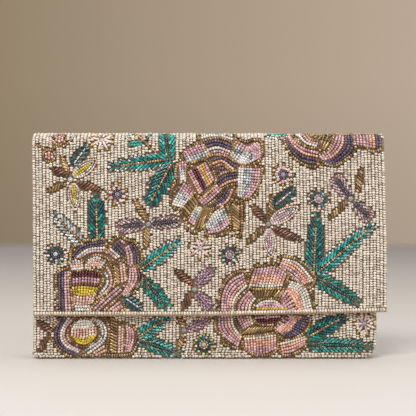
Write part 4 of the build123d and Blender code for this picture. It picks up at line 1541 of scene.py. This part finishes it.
# %% Model a cup bead and copy it to the centres
def cup_shape():
    """A unit cup with a small bead in it, opening along +Z."""
    deselect()
    bpy.ops.mesh.primitive_uv_sphere_add(segments=10, ring_count=6, radius=1)
    made = bpy.context.object
    bpy.ops.object.mode_set(mode="EDIT")
    bpy.ops.mesh.select_mode(type="FACE")
    bpy.ops.mesh.select_all(action="DESELECT")
    shape = bmesh.from_edit_mesh(made.data)
    for face in shape.faces:
        face.select = face.normal.z > 0.8
    bmesh.update_edit_mesh(made.data)
    bpy.ops.mesh.inset(thickness=0.1)
    bpy.ops.transform.translate(value=(0, 0, -0.75))
    bpy.ops.mesh.select_all(action="SELECT")
    bpy.ops.transform.resize(value=(1, 1, 0.6))
    bpy.ops.mesh.primitive_uv_sphere_add(segments=8, ring_count=5, radius=0.42, location=(0, 0, 0.25))
    bpy.ops.object.mode_set(mode="OBJECT")
    bpy.ops.object.shade_smooth()
    return made


CUP = cup_shape()
cup_points = np.array([v.co for v in CUP.data.vertices])
cup_faces = [np.array([list(p.vertices) for p in CUP.data.polygons if len(p.vertices) == n], int)
             for n in (3, 4)]
cup_faces = [block.reshape(-1, n) for block, n in zip(cup_faces, (3, 4))]
bpy.data.objects.remove(CUP)
CUP_RADIUS = 1.75


def set_cups(name, centres, surface, hold):
    """Copies of the cup at every centre."""
    x, h = (np.array([c[i] for c in centres], float) for i in range(2))
    point, up, out = surface(x, h, 1.0)
    ahead = np.tile((1.0, 0.0, 0.0), (len(x), 1))
    unit = cup_points * CUP_RADIUS
    placed = (point[:, None] + unit[None, :, 0:1] * ahead[:, None] + unit[None, :, 1:2] * up[:, None]
              + unit[None, :, 2:3] * out[:, None]).reshape(-1, 3)
    offsets = np.arange(len(x)) * len(unit)
    faces = [(block[None] + offsets[:, None, None]).reshape(-1, block.shape[1]) for block in cup_faces]
    piece = mesh_object(name, placed, faces)
    face_outward(piece)
    bpy.ops.object.shade_smooth_by_angle(angle=math.radians(50))
    tones = np.repeat(rng.uniform(0.2, 0.9, len(x)), len(unit))
    store(piece, tone=tones, along=np.zeros(len(tones)))
    piece.data.materials.append(packets["silver"])
    hold(piece)


set_cups("flap_cup_beads", [c for c in cloth_work[2] if c[1] < FOLD_MIDDLE], lie_on, on_flap)
set_cups("back_cup_beads", [c for c in cloth_work[2] if c[1] >= FOLD_MIDDLE], lie_on, on_back)
set_cups("band_cup_beads", band_work[2], lie_on_front, on_front)
print("cup beads", len(cloth_work[2]) + len(band_work[2]))

# %% [markdown]
# ## Woven and satin finishes
# The covering cloth is a plain weave, seen at every edge; under and between the beads it shows
# a flat darker colour, painted shade. The lining is satin: fine long threads with a soft shine
# that follows its creases, partly real sheen and partly a painted sheen of lighter and darker
# streaks in its colour. Both patterns have to follow the cloth round the fold, so they read
# each piece's own map, laid out in millimetres of cloth, and not places in space.

# %% The shared weave group
def cloth_map(tree):
    """The piece's own map, in millimetres of cloth."""
    node = tree.nodes.new("ShaderNodeUVMap")
    node.uv_map = "cloth"
    return node.outputs["UV"]


def threads(tree, vector, spacing, direction):
    """Parallel threads: 1 on the crown of each and 0 between them."""
    node = tree.nodes.new("ShaderNodeTexWave")
    node.bands_direction = direction
    node.wave_profile = "SIN"
    node.inputs["Scale"].default_value = math.pi / (10 * spacing)
    node.inputs["Distortion"].default_value = 0.6
    node.inputs["Detail"].default_value = 1.0
    node.inputs["Detail Scale"].default_value = 0.4
    link(tree, vector, node.inputs["Vector"])
    return node.outputs["Fac"]


weave, weave_in, weave_out = new_group(
    "weave",
    [("Cloth", "NodeSocketColor", (0.5, 0.4, 0.3, 1)), ("Shade", "NodeSocketColor", (0.3, 0.2, 0.15, 1))],
    [("Color", "NodeSocketColor"), ("Height", "NodeSocketFloat"), ("Roughness", "NodeSocketFloat")],
)
flat_map = cloth_map(weave)
warp = threads(weave, flat_map, 0.55, "X")
weft = threads(weave, flat_map, 0.6, "Y")
lattice = maths(weave, "MULTIPLY", warp, weft)
slubs = noise(weave, flat_map, 0.35)
patches = noise(weave, flat_map, 0.05, 2.0)
shaded = maths(weave, "MULTIPLY_ADD", slubs, 0.5, maths(weave, "MULTIPLY", lattice, 0.6), clamp=True)
tint = blend_colours(weave, shaded, weave_in.outputs["Shade"], weave_in.outputs["Cloth"])
tint = blend_colours(weave, maths(weave, "MULTIPLY", patches, 0.35), tint, weave_in.outputs["Shade"])
link(weave, tint, weave_out.inputs["Color"])
link(weave, maths(weave, "ADD", lattice, maths(weave, "MULTIPLY", slubs, 0.5)), weave_out.inputs["Height"])
link(weave, maths(weave, "MULTIPLY_ADD", slubs, 0.25, 0.68), weave_out.inputs["Roughness"])


def bumped(tree, shader, height, distance, strength=0.6):
    """Feed a height to the shader's normal."""
    bump = tree.nodes.new("ShaderNodeBump")
    bump.inputs["Distance"].default_value = distance
    bump.inputs["Strength"].default_value = strength
    link(tree, height, bump.inputs["Height"])
    link(tree, bump.outputs["Normal"], shader.inputs["Normal"])


def woven(name, cloth, shade, painted_shade_under_beads=None, sheen=0.25):
    """A plain woven cloth in two tones; the third colour, if given, is painted shade under the beads."""
    material, tree, shader = principled(name)
    group = tree.nodes.new("ShaderNodeGroup")
    group.node_tree = weave
    group.inputs["Cloth"].default_value = (*cloth, 1)
    group.inputs["Shade"].default_value = (*shade, 1)
    colour = group.outputs["Color"]
    # Painted shade: where bare is 0, under the beads, the weave gives way to a flat darker colour.
    if painted_shade_under_beads:
        colour = blend_colours(tree, attribute(tree, "bare"), (*painted_shade_under_beads, 1), colour)
    link(tree, colour, shader.inputs["Base Color"])
    link(tree, group.outputs["Roughness"], shader.inputs["Roughness"])
    bumped(tree, shader, group.outputs["Height"], 0.00025)
    shader.inputs["Sheen Weight"].default_value = sheen
    return material


# The third colour is painted shade for the cloth under the beads; the weave shows only where the cloth is
# bare.
tan_cloth = woven("tan_base_cloth", (0.62, 0.45, 0.3), (0.36, 0.23, 0.14), (0.25, 0.165, 0.1))
binding_cloth = woven("tan_binding_cloth", (0.66, 0.44, 0.26), (0.42, 0.25, 0.13))


def satin_finish(name, light, dark):
    """Satin: fine threads, faint creases, and a painted sheen that lights and darkens its colour."""
    material, tree, shader = principled(name)
    flat = cloth_map(tree)
    stretch = tree.nodes.new("ShaderNodeMapping")
    stretch.inputs["Scale"].default_value = (0.02, 0.3, 1)
    link(tree, flat, stretch.inputs["Vector"])
    creases = noise(tree, stretch.outputs["Vector"], 1.0, 4.0)
    fine = threads(tree, flat, 0.25, "Y")
    # Painted sheen and crease shade: the colour runs from dark to light with the crease noise, which also
    # drives the bump.
    colour = blend_colours(tree, creases, (*dark, 1), (*light, 1))
    colour = blend_colours(tree, maths(tree, "MULTIPLY", fine, 0.2), colour, (*dark, 1))
    link(tree, colour, shader.inputs["Base Color"])
    rough = maths(tree, "MULTIPLY_ADD", creases, 0.25, 0.22)
    link(tree, rough, shader.inputs["Roughness"])
    bumped(tree, shader, maths(tree, "ADD", creases, maths(tree, "MULTIPLY", fine, 0.15)), 0.0006, 0.5)
    shader.inputs["Sheen Weight"].default_value = 0.35
    shader.inputs["Anisotropic"].default_value = 0.5
    return material


satin = satin_finish("champagne_satin", (0.82, 0.71, 0.54), (0.6, 0.48, 0.33))

# %% [markdown]
# ## Sheets of cloth
# Every length of cloth starts as a flat grid with as many columns and rows as it needs. Its
# points are then carried to their places on the wall or round the fold, its map is written in
# millimetres, and a Solidify modifier gives it its thickness. A covering is wider than its
# wall, and the extra columns go round the wall's edges to meet the lining.

# %% Make a sheet from a grid
def sheet_of(name, across, along, place, thickness, material, offset=-1.0, bare_from=None):
    """A sheet of cloth whose grid point (across, along) is carried to place(across, along)."""
    across, along = np.asarray(across, float), np.asarray(along, float)
    deselect()
    bpy.ops.mesh.primitive_grid_add(
        x_subdivisions=len(across) - 1, y_subdivisions=len(along) - 1, size=1
    )
    piece = bpy.context.object
    piece.name = piece.data.name = name
    flat = np.array([v.co for v in piece.data.vertices])
    s = across[np.rint((flat[:, 0] + 0.5) * (len(across) - 1)).astype(int)]
    t = along[np.rint((flat[:, 1] + 0.5) * (len(along) - 1)).astype(int)]
    points = np.asarray(place(s, t))
    piece.data.vertices.foreach_set("co", (points * MM).astype(np.float32).ravel())
    piece.data.uv_layers.active.name = "cloth"
    corners = np.empty(len(piece.data.loops), np.int32)
    piece.data.loops.foreach_get("vertex_index", corners)
    piece.data.uv_layers["cloth"].data.foreach_set(
        "uv", np.stack([s[corners], t[corners]], 1).astype(np.float32).ravel()
    )
    # bare is 1 where no beads lie on the cloth: its rims, and the front wall above the band; a cloth with
    # painted shade shows its weave only there.
    store(piece, bare=(s < LEFT) | (s > RIGHT_HIGH) | (t > (bare_from or 1e3)))
    piece.data.update()
    thick = piece.modifiers.new("thickness", "SOLIDIFY")
    thick.thickness = thickness * MM
    thick.offset = offset
    thick.use_even_offset = True
    bpy.ops.object.modifier_apply(modifier=thick.name)
    bpy.ops.object.shade_smooth_by_angle(angle=math.radians(50))
    piece.data.materials.append(material)
    return piece


def steps(low, high, gap):
    """Even places from low to high, about gap apart."""
    return np.linspace(low, high, max(2, round((high - low) / gap) + 1))


def covering(surface, left, right, rim):
    """Where a covering's points go; the part wider than the wall goes round its edges."""
    def place(s, t):
        low, high = left(t), right(t)
        wide = high - low
        middle = (LEFT + RIGHT_HIGH) / 2
        x = low + (np.clip(s, LEFT, RIGHT_HIGH) - LEFT) / (RIGHT_HIGH - LEFT) * wide
        over = np.maximum(LEFT - s, s - RIGHT_HIGH).clip(0)
        x = x + np.sign(middle - s) * 0.25 * np.minimum(over / 0.5, 1) * -1
        return surface(x, t, -np.minimum(over, rim))[0]
    return place


RIM = 2.9
SIDES = np.concatenate([[LEFT - RIM, LEFT - RIM / 2, LEFT - 0.5], steps(LEFT, LEFT + 4, 1.0)[:-1],
                        steps(LEFT + 4, RIGHT_HIGH - 4, 4.0), steps(RIGHT_HIGH - 4, RIGHT_HIGH, 1.0)[1:],
                        [RIGHT_HIGH + 0.5, RIGHT_HIGH + RIM / 2, RIGHT_HIGH + RIM]])


def cloth_surface(x, h, lift):
    """The long cloth's own face, with half of the beads' roll at its edges."""
    return lie_on(x, h, lift, roll=0.45)


def front_surface(x, z, lift):
    """The front wall's cloth face."""
    return lie_on_front(x, z, lift, roll=0.45)


def on_body(piece):
    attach(piece, "body")


CLOTH = 0.6
long_rows = np.concatenate([steps(HEM + 1.4, FOLD_BASE, 3.0)[:-1],
                            steps(FOLD_BASE, BACK_START, 0.9)[:-1], steps(BACK_START, BACK_END, 3.0)])
flap_rows = np.append(long_rows[long_rows < FOLD_MIDDLE], FOLD_MIDDLE)
back_rows = np.insert(long_rows[long_rows > FOLD_MIDDLE], 0, FOLD_MIDDLE)


def hem_shift(h, x):
    """Rows near the hem rise with it on the right."""
    return h + HEM_RISE * np.clip(x / FLAP_RIGHT, 0, 1) * np.clip((70 - h) / 40, 0, 1)


def flap_place(s, t):
    return covering(cloth_surface, flap_left, flap_right, RIM)(s, hem_shift(t, s))


cover_flap = sheet_of("flap_covering_cloth", SIDES, flap_rows, flap_place, CLOTH, tan_cloth)
on_flap(cover_flap)
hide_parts("flap_base_cloth", "fold_front_edge_base_cloth", "fold_base_cloth")
cover_back = sheet_of("back_covering_cloth", SIDES, back_rows,
                      covering(cloth_surface, flap_left, flap_right, RIM), CLOTH, tan_cloth)
on_back(cover_back)
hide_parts("back_base_cloth", "fold_back_edge_base_cloth")
front_rows = steps(FLOOR_HEIGHT + 0.3, MOUTH - 1.0, 3.5)
cover_front = sheet_of("front_covering_cloth", SIDES, front_rows,
                       covering(front_surface, body_left, body_right, RIM), CLOTH, tan_cloth,
                       bare_from=BAND_TOP + 0.5)
on_front(cover_front)
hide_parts("front_base_cloth")
cover_floor = sheet_of("floor_covering_cloth", steps(LEFT + 0.4, RIGHT_LOW_EDGE - 2.8, 2.0),
                       steps(0.0, UNDER_LENGTH, 0.6), lambda s, t: lie_under(s, t, 0.0)[0], CLOTH, tan_cloth)
on_body(cover_floor)
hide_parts("bottom_base_cloth")
print("coverings", [piece.name for piece in (cover_flap, cover_back, cover_front, cover_floor)])

# %% [markdown]
# ## The padding round the fold
# The top has no board, so that it can bend: only a strip of soft felt lies between covering
# and lining. It is one strip in two halves, one on the front of the fold and one on the back.

# %% Felt for the fold
def felt_finish(name, light, dark):
    """Matted fibres."""
    material, tree, shader = principled(name)
    place = coordinates(tree)
    fibres = noise(tree, place, 1400.0, 6.0, 0.7)
    clumps = noise(tree, place, 180.0)
    mixed = maths(tree, "MULTIPLY", fibres, clumps)
    link(tree, blend_colours(tree, maths(tree, "MULTIPLY", mixed, 2.5, clamp=True), (*dark, 1), (*light, 1)),
         shader.inputs["Base Color"])
    rough = maths(tree, "MULTIPLY_ADD", clumps, 0.1, 0.85)
    link(tree, rough, shader.inputs["Roughness"])
    bumped(tree, shader, mixed, 0.0005)
    return material


felt = felt_finish("white_felt", (0.86, 0.84, 0.79), (0.62, 0.59, 0.53))
board_fibre = felt_finish("grey_fibre_board", (0.5, 0.46, 0.41), (0.3, 0.27, 0.24))
felt_sides = steps(LEFT + 1.2, RIGHT_HIGH - 1.2, 6.0)
for name, rows_used, hold, nodes in (
    ("fold_front_felt", steps(FOLD_BASE, FOLD_MIDDLE, 1.2), on_flap,
     ("fold_front_edge_wadding", "fold_wadding")),
    ("fold_back_felt", steps(FOLD_MIDDLE, BACK_START, 1.2), on_back, ("fold_back_edge_wadding",)),
):
    strip = sheet_of(name, felt_sides, rows_used, lambda s, t: lie_on(s, t, -0.7, 0.3)[0], 1.9, felt)
    hold(strip)
    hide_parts(*nodes)

# %% [markdown]
# ## The satin lining
# The lining is sewn along its edges and loose between them, so it creases a little where the
# bag bends. It is pushed up in long low folds, strongest near the top, and never deeper than
# a millimetre, because it must not catch on what goes into the bag.

# %% Line the flap, the fold, the back and the front
LINING = 0.5


def creases(x, h, strength):
    """Long soft creases, in millimetres."""
    slow = np.sin(x / 23 + 0.8 * np.sin(h / 31)) * np.sin(h / 12.5 + x / 90)
    fast = np.sin(x / 9.1 - h / 26) * np.sin(h / 7.3 + 1.7)
    return strength * (0.5 * slow + 0.25 * fast + 0.4)


def edge_fade(x, left, right):
    """0 at both sewn sides and 1 inside."""
    return np.clip(np.minimum(x - left, right - x) / 8, 0, 1)


def lining_place(s, t):
    """The inner face of the flap, the fold and the back."""
    t = hem_shift(t, s)
    left, right = flap_left(t) + 0.3, flap_right(t) - 0.3
    x = left + (s - LEFT) / (RIGHT_HIGH - LEFT) * (right - left)
    puff = creases(x, t, 0.45) * edge_fade(x, left, right) * np.clip((t - HEM) / 10, 0, 1)
    puff = puff * np.clip((BACK_END - t) / 10, 0, 1)
    return lie_on(x, t, -(WALL - LINING) - puff, 0.0, 0.0)[0]


lining_sides = np.concatenate([[LEFT, LEFT + 1.5], steps(LEFT + 4, RIGHT_HIGH - 4, 3.4),
                               [RIGHT_HIGH - 1.5, RIGHT_HIGH]])
lining_flap = sheet_of("flap_satin_lining", lining_sides, flap_rows[1:], lining_place, LINING, satin)
on_flap(lining_flap)
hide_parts("flap_lining", "fold_front_edge_lining", "fold_lining")
lining_back = sheet_of("back_satin_lining", lining_sides, back_rows, lining_place, LINING, satin)
on_back(lining_back)
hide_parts("back_lining", "fold_back_edge_lining")


def front_lining_place(s, t):
    """The inner face of the front wall."""
    left, right = body_left(t) + 0.4, body_right(t) - 0.4
    x = left + (s - LEFT) / (RIGHT_HIGH - LEFT) * (right - left)
    puff = creases(x + 40, t + 11, 0.4) * edge_fade(x, left, right) * np.clip((MOUTH - t) / 12, 0, 1)
    return lie_on_front(x, t, -(WALL - LINING) - puff * np.clip((t - 5) / 10, 0, 1), 0.0)[0]


lining_front = sheet_of("front_satin_lining", lining_sides, steps(FLOOR_HEIGHT + 0.6, MOUTH - 1.2, 3.0),
                        front_lining_place, LINING, satin)
on_front(lining_front)
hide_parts("front_lining")
floor_low, floor_high = extent("bottom_lining", 1)


def floor_place(s, t):
    """The lining on the floor, which lies almost flat."""
    rise = 0.3 * np.sin(s / 14) * np.sin(t / 6) ** 2
    return np.stack([s, t, FLOOR_HEIGHT + rise + 0.05], -1)


lining_floor = sheet_of("floor_satin_lining", steps(LEFT + 3, RIGHT_LOW_EDGE - 6.4, 3.0),
                        steps(floor_low, floor_high, 2.0), floor_place, LINING, satin)
on_body(lining_floor)
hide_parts("bottom_lining")
print("linings made")

# %% [markdown]
# ## Side gussets
# A V-shaped pleat of satin closes each side. Its two edges are sewn to the walls, one to the
# back and one to the front, and its tip points inwards, so that it opens like a fan as the
# front wall tips forward. It is blended between the two walls.

# %% Pleat the two gussets
for side, inwards in (("left", 1), ("right", -1)):
    node = f"gusset_{side}"
    front_y, back_y = extent(node, 1)
    low_z, high_z = extent(node, 2)
    outer_low = LEFT + 3.0 if side == "left" else RIGHT_LOW_EDGE - 6.2
    outer_high = LEFT + 2.5 if side == "left" else RIGHT_HIGH - 3.0

    def gusset_place(s, t, inwards=inwards, low=outer_low, high=outer_high, front=front_y, back=back_y):
        up = (t - FLOOR_HEIGHT) / (GUSSET_TOP - FLOOR_HEIGHT)
        edge = low + (high - low) * up
        tip = 2.0 + 10.0 * up
        fold_in = 1 - np.abs(2 * s - 1) ** 1.25
        sag = 0.35 * np.sin(t / 9.0 + 4 * s) * fold_in
        x = edge + inwards * (tip * fold_in + 0.4) + sag
        return np.stack([x, front + (back - front) * s, t], -1)

    GUSSET_TOP = high_z
    gusset = sheet_of(f"{side}_gusset", steps(0, 1, 0.05), steps(low_z, high_z, 3.0), gusset_place, 0.6,
                      satin,
                      offset=0.0)
    gusset.data.uv_layers["cloth"].data.foreach_set("uv", np.array(
        [c for loop in gusset.data.loops
         for c in (gusset.data.vertices[loop.vertex_index].co.y / MM,
                   gusset.data.vertices[loop.vertex_index].co.z / MM)], np.float32))
    face_outward(gusset)
    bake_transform(gusset)
    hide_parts(node)

# %% [markdown]
# ## The slip pocket
# A low pocket of the same satin is sewn to the back lining along three sides. Its mouth is
# turned over in a hem and stands off a little, as a pocket that has been used does.

# %% Sew the pocket
pocket_left, pocket_right = extent("slip_pocket", 0)
pocket_low, pocket_high = extent("slip_pocket", 2)
_, pocket_wall = extent("slip_pocket", 1)


def pocket_place(s, t):
    """The pocket's front face; it bellies out slightly below its mouth."""
    across = (s - pocket_left) / (pocket_right - pocket_left)
    up = (t - pocket_low) / (pocket_high - pocket_low)
    belly = 0.9 * np.sin(math.pi * across) ** 0.7 * np.clip(up * 1.6, 0, 1)
    y = pocket_wall - 0.5 - belly + 0.12 * np.sin(s / 7 + t / 19) * np.sin(math.pi * across)
    return np.stack([s, y, t], -1)


pocket = sheet_of("slip_pocket_satin", steps(pocket_left, pocket_right, 2.5),
                  steps(pocket_low, pocket_high - 1.0, 2.5), pocket_place, 0.45, satin)
on_body(pocket)
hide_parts("slip_pocket")


# %% [markdown]
# ## Bindings
# The flap's hem and the front wall's mouth are finished with a strip folded over the raw
# edges. A strip is an arc of cloth carried along the edge, and its map runs along it so that
# the weave turns with the fold.

# %% Fold a strip over an edge
def bound_edge(name, left, right, profile, edge_height, material):
    """A strip whose cross-section is profile, (y, height above the edge), swept from side to side."""
    section = smooth(profile, 5)
    run = np.concatenate([[0], np.cumsum(np.hypot(*np.diff(section, axis=0).T))])
    def place(s, t):
        y = np.interp(t, run, section[:, 0])
        z = np.interp(t, run, section[:, 1]) + edge_height(s)
        return np.stack([s, y + 0.07 * np.sin(s / 5.3), z + 0.08 * np.sin(s / 3.7 + t)], -1)
    strip = sheet_of(name, steps(left, right, 2.5), run, place, 0.5, material)
    return strip


hem_cover = bound_edge(
    "hem_binding_strip", LEFT + 1.0, FLAP_RIGHT,
    [(-9.85, 4.9), (-10.0, 0.9), (-11.6, 0.05), (-13.3, 0.7), (-13.7, 2.1), (-13.2, 3.2)],
    hem_line, binding_cloth)
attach(hem_cover, "flap")
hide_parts("hem_binding")
mouth_cover = bound_edge(
    "mouth_binding_strip", LEFT + 0.4, RIGHT_HIGH - 0.6,
    [(-8.2, -5.4), (-8.15, -1.6), (-7.4, -0.3), (-5.9, 0.0), (-4.5, -0.3), (-3.8, -1.6), (-3.75, -5.4)],
    lambda s: np.full(np.shape(s), MOUTH), binding_cloth)
on_front(mouth_cover)
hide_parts("mouth_binding")
print("bindings made")

# %% [markdown]
# ## Stitches
# Small slanted stitches hold the bindings, the pocket and the lining. One stitch is modelled
# as a short thread with sunken ends and copied along each seam.

# %% One stitch, and rows of it
def thread_finish(name, colour):
    """Twisted thread."""
    material, tree, shader = principled(name)
    grain = noise(tree, coordinates(tree), 2500.0)
    dark = tuple(0.6 * c for c in colour)
    link(tree, blend_colours(tree, grain, (*dark, 1), (*colour, 1)), shader.inputs["Base Color"])
    link(tree, maths(tree, "MULTIPLY_ADD", grain, 0.3, 0.45), shader.inputs["Roughness"])
    shader.inputs["Sheen Weight"].default_value = 0.3
    return material


thread = thread_finish("sewing_thread", (0.74, 0.6, 0.42))
STITCH = 1.9


def stitches(name, starts, ends, outs, hold, slot):
    """A row of stitches from each start to each end."""
    starts, ends, outs = (np.asarray(v, float) for v in (starts, ends, outs))
    ways = ends - starts
    lengths = np.linalg.norm(ways, axis=1)
    ways = ways / lengths[:, None]
    points = shape_points(BUGLE, (starts + ends) / 2, ways, outs, lengths, np.full(len(lengths), 0.17))
    offsets = np.arange(len(lengths)) * len(BUGLE[0])
    faces = [(part[None] + offsets[:, None, None]).reshape(-1, part.shape[1]) for part in BUGLE[1:]]
    piece = mesh_object(name, points, faces)
    piece.data.materials.append(thread)
    hold(piece)
    return piece


def seam(points, normal, gap=3.0, slant=(0, 0, 0)):
    """Starts, ends and outward directions of stitches along a line of points."""
    line = np.array(points, float)
    run = np.concatenate([[0], np.cumsum(np.linalg.norm(np.diff(line, axis=0), axis=1))])
    at = np.arange(gap, run[-1] - STITCH, gap)
    start = np.stack([np.interp(at, run, line[:, i]) for i in range(3)], 1)
    end = np.stack([np.interp(at + STITCH, run, line[:, i]) for i in range(3)], 1)
    return start, end + np.array(slant), np.tile(normal, (len(at), 1))


xs = np.linspace(LEFT + 3, RIGHT_HIGH - 3, 60)
mouth_line = np.stack([xs, np.full(60, -8.45), np.full(60, MOUTH - 4.4)], 1)
stitches("mouth_stitches", *seam(mouth_line, (0, -1, 0), slant=(0, 0, 0.5)), on_front, "base_cloth")
inner_line = np.stack([xs, np.full(60, -3.5), np.full(60, MOUTH - 4.4)], 1)
stitches("mouth_inner_stitches", *seam(inner_line, (0, 1, 0), slant=(0, 0, 0.5)), on_front, "base_cloth")
xs = np.linspace(LEFT + 3, FLAP_RIGHT - 3, 60)
hem_inner = np.stack([xs, np.full(60, -9.55), hem_line(xs) + 2.7], 1)
stitches("hem_stitches", *seam(hem_inner, (0, 1, 0), slant=(0, 0, 0.4)),
         lambda p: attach(p, "flap"), "base_cloth")
frame_points = [(pocket_left + 1, pocket_high - 2), (pocket_left + 1, pocket_low + 1),
                (pocket_right - 1, pocket_low + 1), (pocket_right - 1, pocket_high - 2)]
pocket_line = [(x, float(pocket_place(np.array([x]), np.array([z]))[0, 1]) - 0.55, z) for x,
               z in frame_points]
long_line = []
for a, b in zip(pocket_line[:-1], pocket_line[1:]):
    for k in range(20):
        x, z = a[0] + (b[0] - a[0]) * k / 20, a[2] + (b[2] - a[2]) * k / 20
        y = float(pocket_place(np.array([x]), np.array([z]))[0, 1]) - 0.6
        long_line.append((x, y, z))
stitches("pocket_stitches", *seam(long_line, (0, -1, 0), gap=3.2), on_body, "lining_satin")
pocket_top = [(x, float(pocket_place(np.array([x]), np.array([pocket_high - 6]))[0, 1]) - 0.6,
               pocket_high - 6)
              for x in np.linspace(pocket_left + 3, pocket_right - 3, 40)]
stitches("pocket_hem_stitches", *seam(pocket_top, (0, -1, 0), gap=3.2), on_body, "lining_satin")
print("stitches sewn")

# %% [markdown]
# ## Felt, board and the magnetic snap
# The felt and boards inside the walls keep their given shapes and only get a finish, as do
# the snap's parts. The snap is gold plate that has been handled: finely grained, a little
# duller and redder where it has worn.

# %% Finish the frame's own parts
def plated(name, light, dark, metallic=1.0):
    """Plated metal, brushed and lightly worn."""
    material, tree, shader = principled(name)
    place = coordinates(tree)
    wear = noise(tree, place, 220.0, 5.0)
    fine = noise(tree, place, 3000.0)
    link(tree, blend_colours(tree, wear, (*dark, 1), (*light, 1)), shader.inputs["Base Color"])
    rough = maths(tree, "MULTIPLY_ADD", wear, 0.3, 0.12)
    link(tree, rough, shader.inputs["Roughness"])
    shader.inputs["Metallic"].default_value = metallic
    bumped(tree, shader, fine, 0.00008, 0.4)
    return material


gold_plate = plated("gold_plate", (0.9, 0.7, 0.36), (0.62, 0.42, 0.18))
ferrite = plated("ferrite", (0.2, 0.2, 0.21), (0.1, 0.1, 0.11), 0.6)
finishes = {"board": board_fibre, "wadding": felt, "snap_socket": gold_plate, "snap_stud": gold_plate,
            "washer": gold_plate, "magnet": ferrite}
for name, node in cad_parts.items():
    for ending, material in finishes.items():
        if name.endswith(ending) and not node.hide_render:
            node.data.materials.clear()
            node.data.materials.append(material)
            print(name, "is", material.name)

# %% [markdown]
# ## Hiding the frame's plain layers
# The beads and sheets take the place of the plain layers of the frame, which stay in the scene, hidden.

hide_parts("flap_beadwork", "fold_front_edge_beadwork", "fold_beadwork")
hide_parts("back_beadwork", "fold_back_edge_beadwork")
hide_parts("front_beadwork")
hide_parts("bottom_beadwork")
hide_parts("hem_beads")

# %% [markdown]
# ## The room, the lights and the camera
# A pale floor runs back to a distant edge, and past it there is only a warm tone that lightens
# to the right. The main soft light hangs in front and above, a little to the left, a weaker one
# fills from the right, and a third hangs overhead. The camera
# stands level, a little over three quarters of a metre away, with a lens long enough to keep
# the flap's edges straight.

# %% The floor
deselect()
bpy.ops.mesh.primitive_circle_add(vertices=96, radius=2.9, fill_type="NGON")
floor = bpy.context.object
floor.name = "studio_floor"
bpy.ops.object.mode_set(mode="EDIT")
bpy.ops.mesh.select_all(action="SELECT")
bpy.ops.mesh.inset(thickness=1.2)
bpy.ops.object.mode_set(mode="OBJECT")
material, tree, shader = principled("pale_floor")
mottle = noise(tree, coordinates(tree), 3.0, 4.0)
split = tree.nodes.new("ShaderNodeSeparateXYZ")
link(tree, coordinates(tree), split.inputs[0])
# Painted light: the floor's colour grows lighter and greyer towards the camera.
nearer = maths(tree, "MULTIPLY_ADD", split.outputs["Y"], -0.85, 0.55, clamp=True)
sweep = blend_colours(tree, nearer, (0.68, 0.625, 0.57, 1), (0.7, 0.675, 0.65, 1))
link(tree, blend_colours(tree, maths(tree, "MULTIPLY", mottle, 0.1), sweep, (0.5, 0.45, 0.4, 1)),
     shader.inputs["Base Color"])
fade = maths(tree, "MULTIPLY_ADD", split.outputs["Y"], -1.6, 4.56, clamp=True)
link(tree, fade, shader.inputs["Alpha"])
rough = maths(tree, "MULTIPLY_ADD", mottle, 0.1, 0.55)
link(tree, rough, shader.inputs["Roughness"])
floor.data.materials.append(material)
floor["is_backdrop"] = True

# %% The wall colour behind and the fill all round
world = bpy.data.worlds.new("studio")
bpy.context.scene.world = world
world.use_nodes = True
tree = world.node_tree
tree.nodes.clear()
out = tree.nodes.new("ShaderNodeOutputWorld")
mix = tree.nodes.new("ShaderNodeMixShader")
seen = tree.nodes.new("ShaderNodeBackground")
light = tree.nodes.new("ShaderNodeBackground")
light.inputs["Color"].default_value = (0.9, 0.88, 0.86, 1)
light.inputs["Strength"].default_value = 0.38
where = tree.nodes.new("ShaderNodeTexCoord")
split = tree.nodes.new("ShaderNodeSeparateXYZ")
link(tree, where.outputs["Generated"], split.inputs[0])
# Painted light on the backdrop: its colour lightens to the right and darkens downwards towards the horizon.
across = maths(tree, "MULTIPLY_ADD", split.outputs["X"], 2.6, 0.5, clamp=True)
wall = blend_colours(tree, across, (0.3, 0.23, 0.147, 1), (0.5, 0.4, 0.31, 1))
height = maths(tree, "MULTIPLY_ADD", split.outputs["Z"], 1.1, 0.88, clamp=True)
wall = blend_colours(tree, 1.0, wall, height, "MULTIPLY")
link(tree, wall, seen.inputs["Color"])
path = tree.nodes.new("ShaderNodeLightPath")
link(tree, path.outputs["Is Camera Ray"], mix.inputs[0])
link(tree, light.outputs[0], mix.inputs[1])
link(tree, seen.outputs[0], mix.inputs[2])
link(tree, mix.outputs[0], out.inputs["Surface"])

# %% Lights and camera
def soft_light(name, place, size, power, colour):
    """An area light that points at the middle of the clutch."""
    lamp = bpy.data.lights.new(name, "AREA")
    lamp.shape = "RECTANGLE"
    lamp.size, lamp.size_y = size
    lamp.energy = power
    lamp.color = colour
    holder = bpy.data.objects.new(name, lamp)
    bpy.context.scene.collection.objects.link(holder)
    holder.location = place
    aim = Vector((0, 0, 0.09)) - Vector(place)
    holder.rotation_euler = aim.to_track_quat("-Z", "Y").to_euler()


soft_light("key", (-0.35, -1.1, 1.3), (0.7, 0.6), 20, (1.0, 0.97, 0.93))
soft_light("fill", (1.2, -0.9, 0.8), (0.8, 0.8), 7, (0.97, 0.97, 1.0))
soft_light("top", (0.1, 0.2, 1.7), (1.4, 1.0), 10, (1.0, 0.98, 0.95))
camera = bpy.data.cameras.new("camera")
camera.lens = 100
camera.sensor_width = 36
viewer = bpy.data.objects.new("camera", camera)
bpy.context.scene.collection.objects.link(viewer)
viewer.location = (-0.001, -0.8285, 0.107)
viewer.rotation_euler = (math.pi / 2, 0, 0)
bpy.context.scene.camera = viewer
bpy.context.scene.view_settings.view_transform = "Standard"

# %% [markdown]
# ## Measure and finish
# The dressed clutch must be the size of its frame, give or take a few millimetres of beads.
# Both boxes are printed.

# %% Print the boxes and finish
visual_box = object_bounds()
for label, low, high in (("cad", *cad_box), ("visual", *visual_box)):
    print(label, [round(v * 1000, 1) for v in low], [round(v * 1000, 1) for v in high])
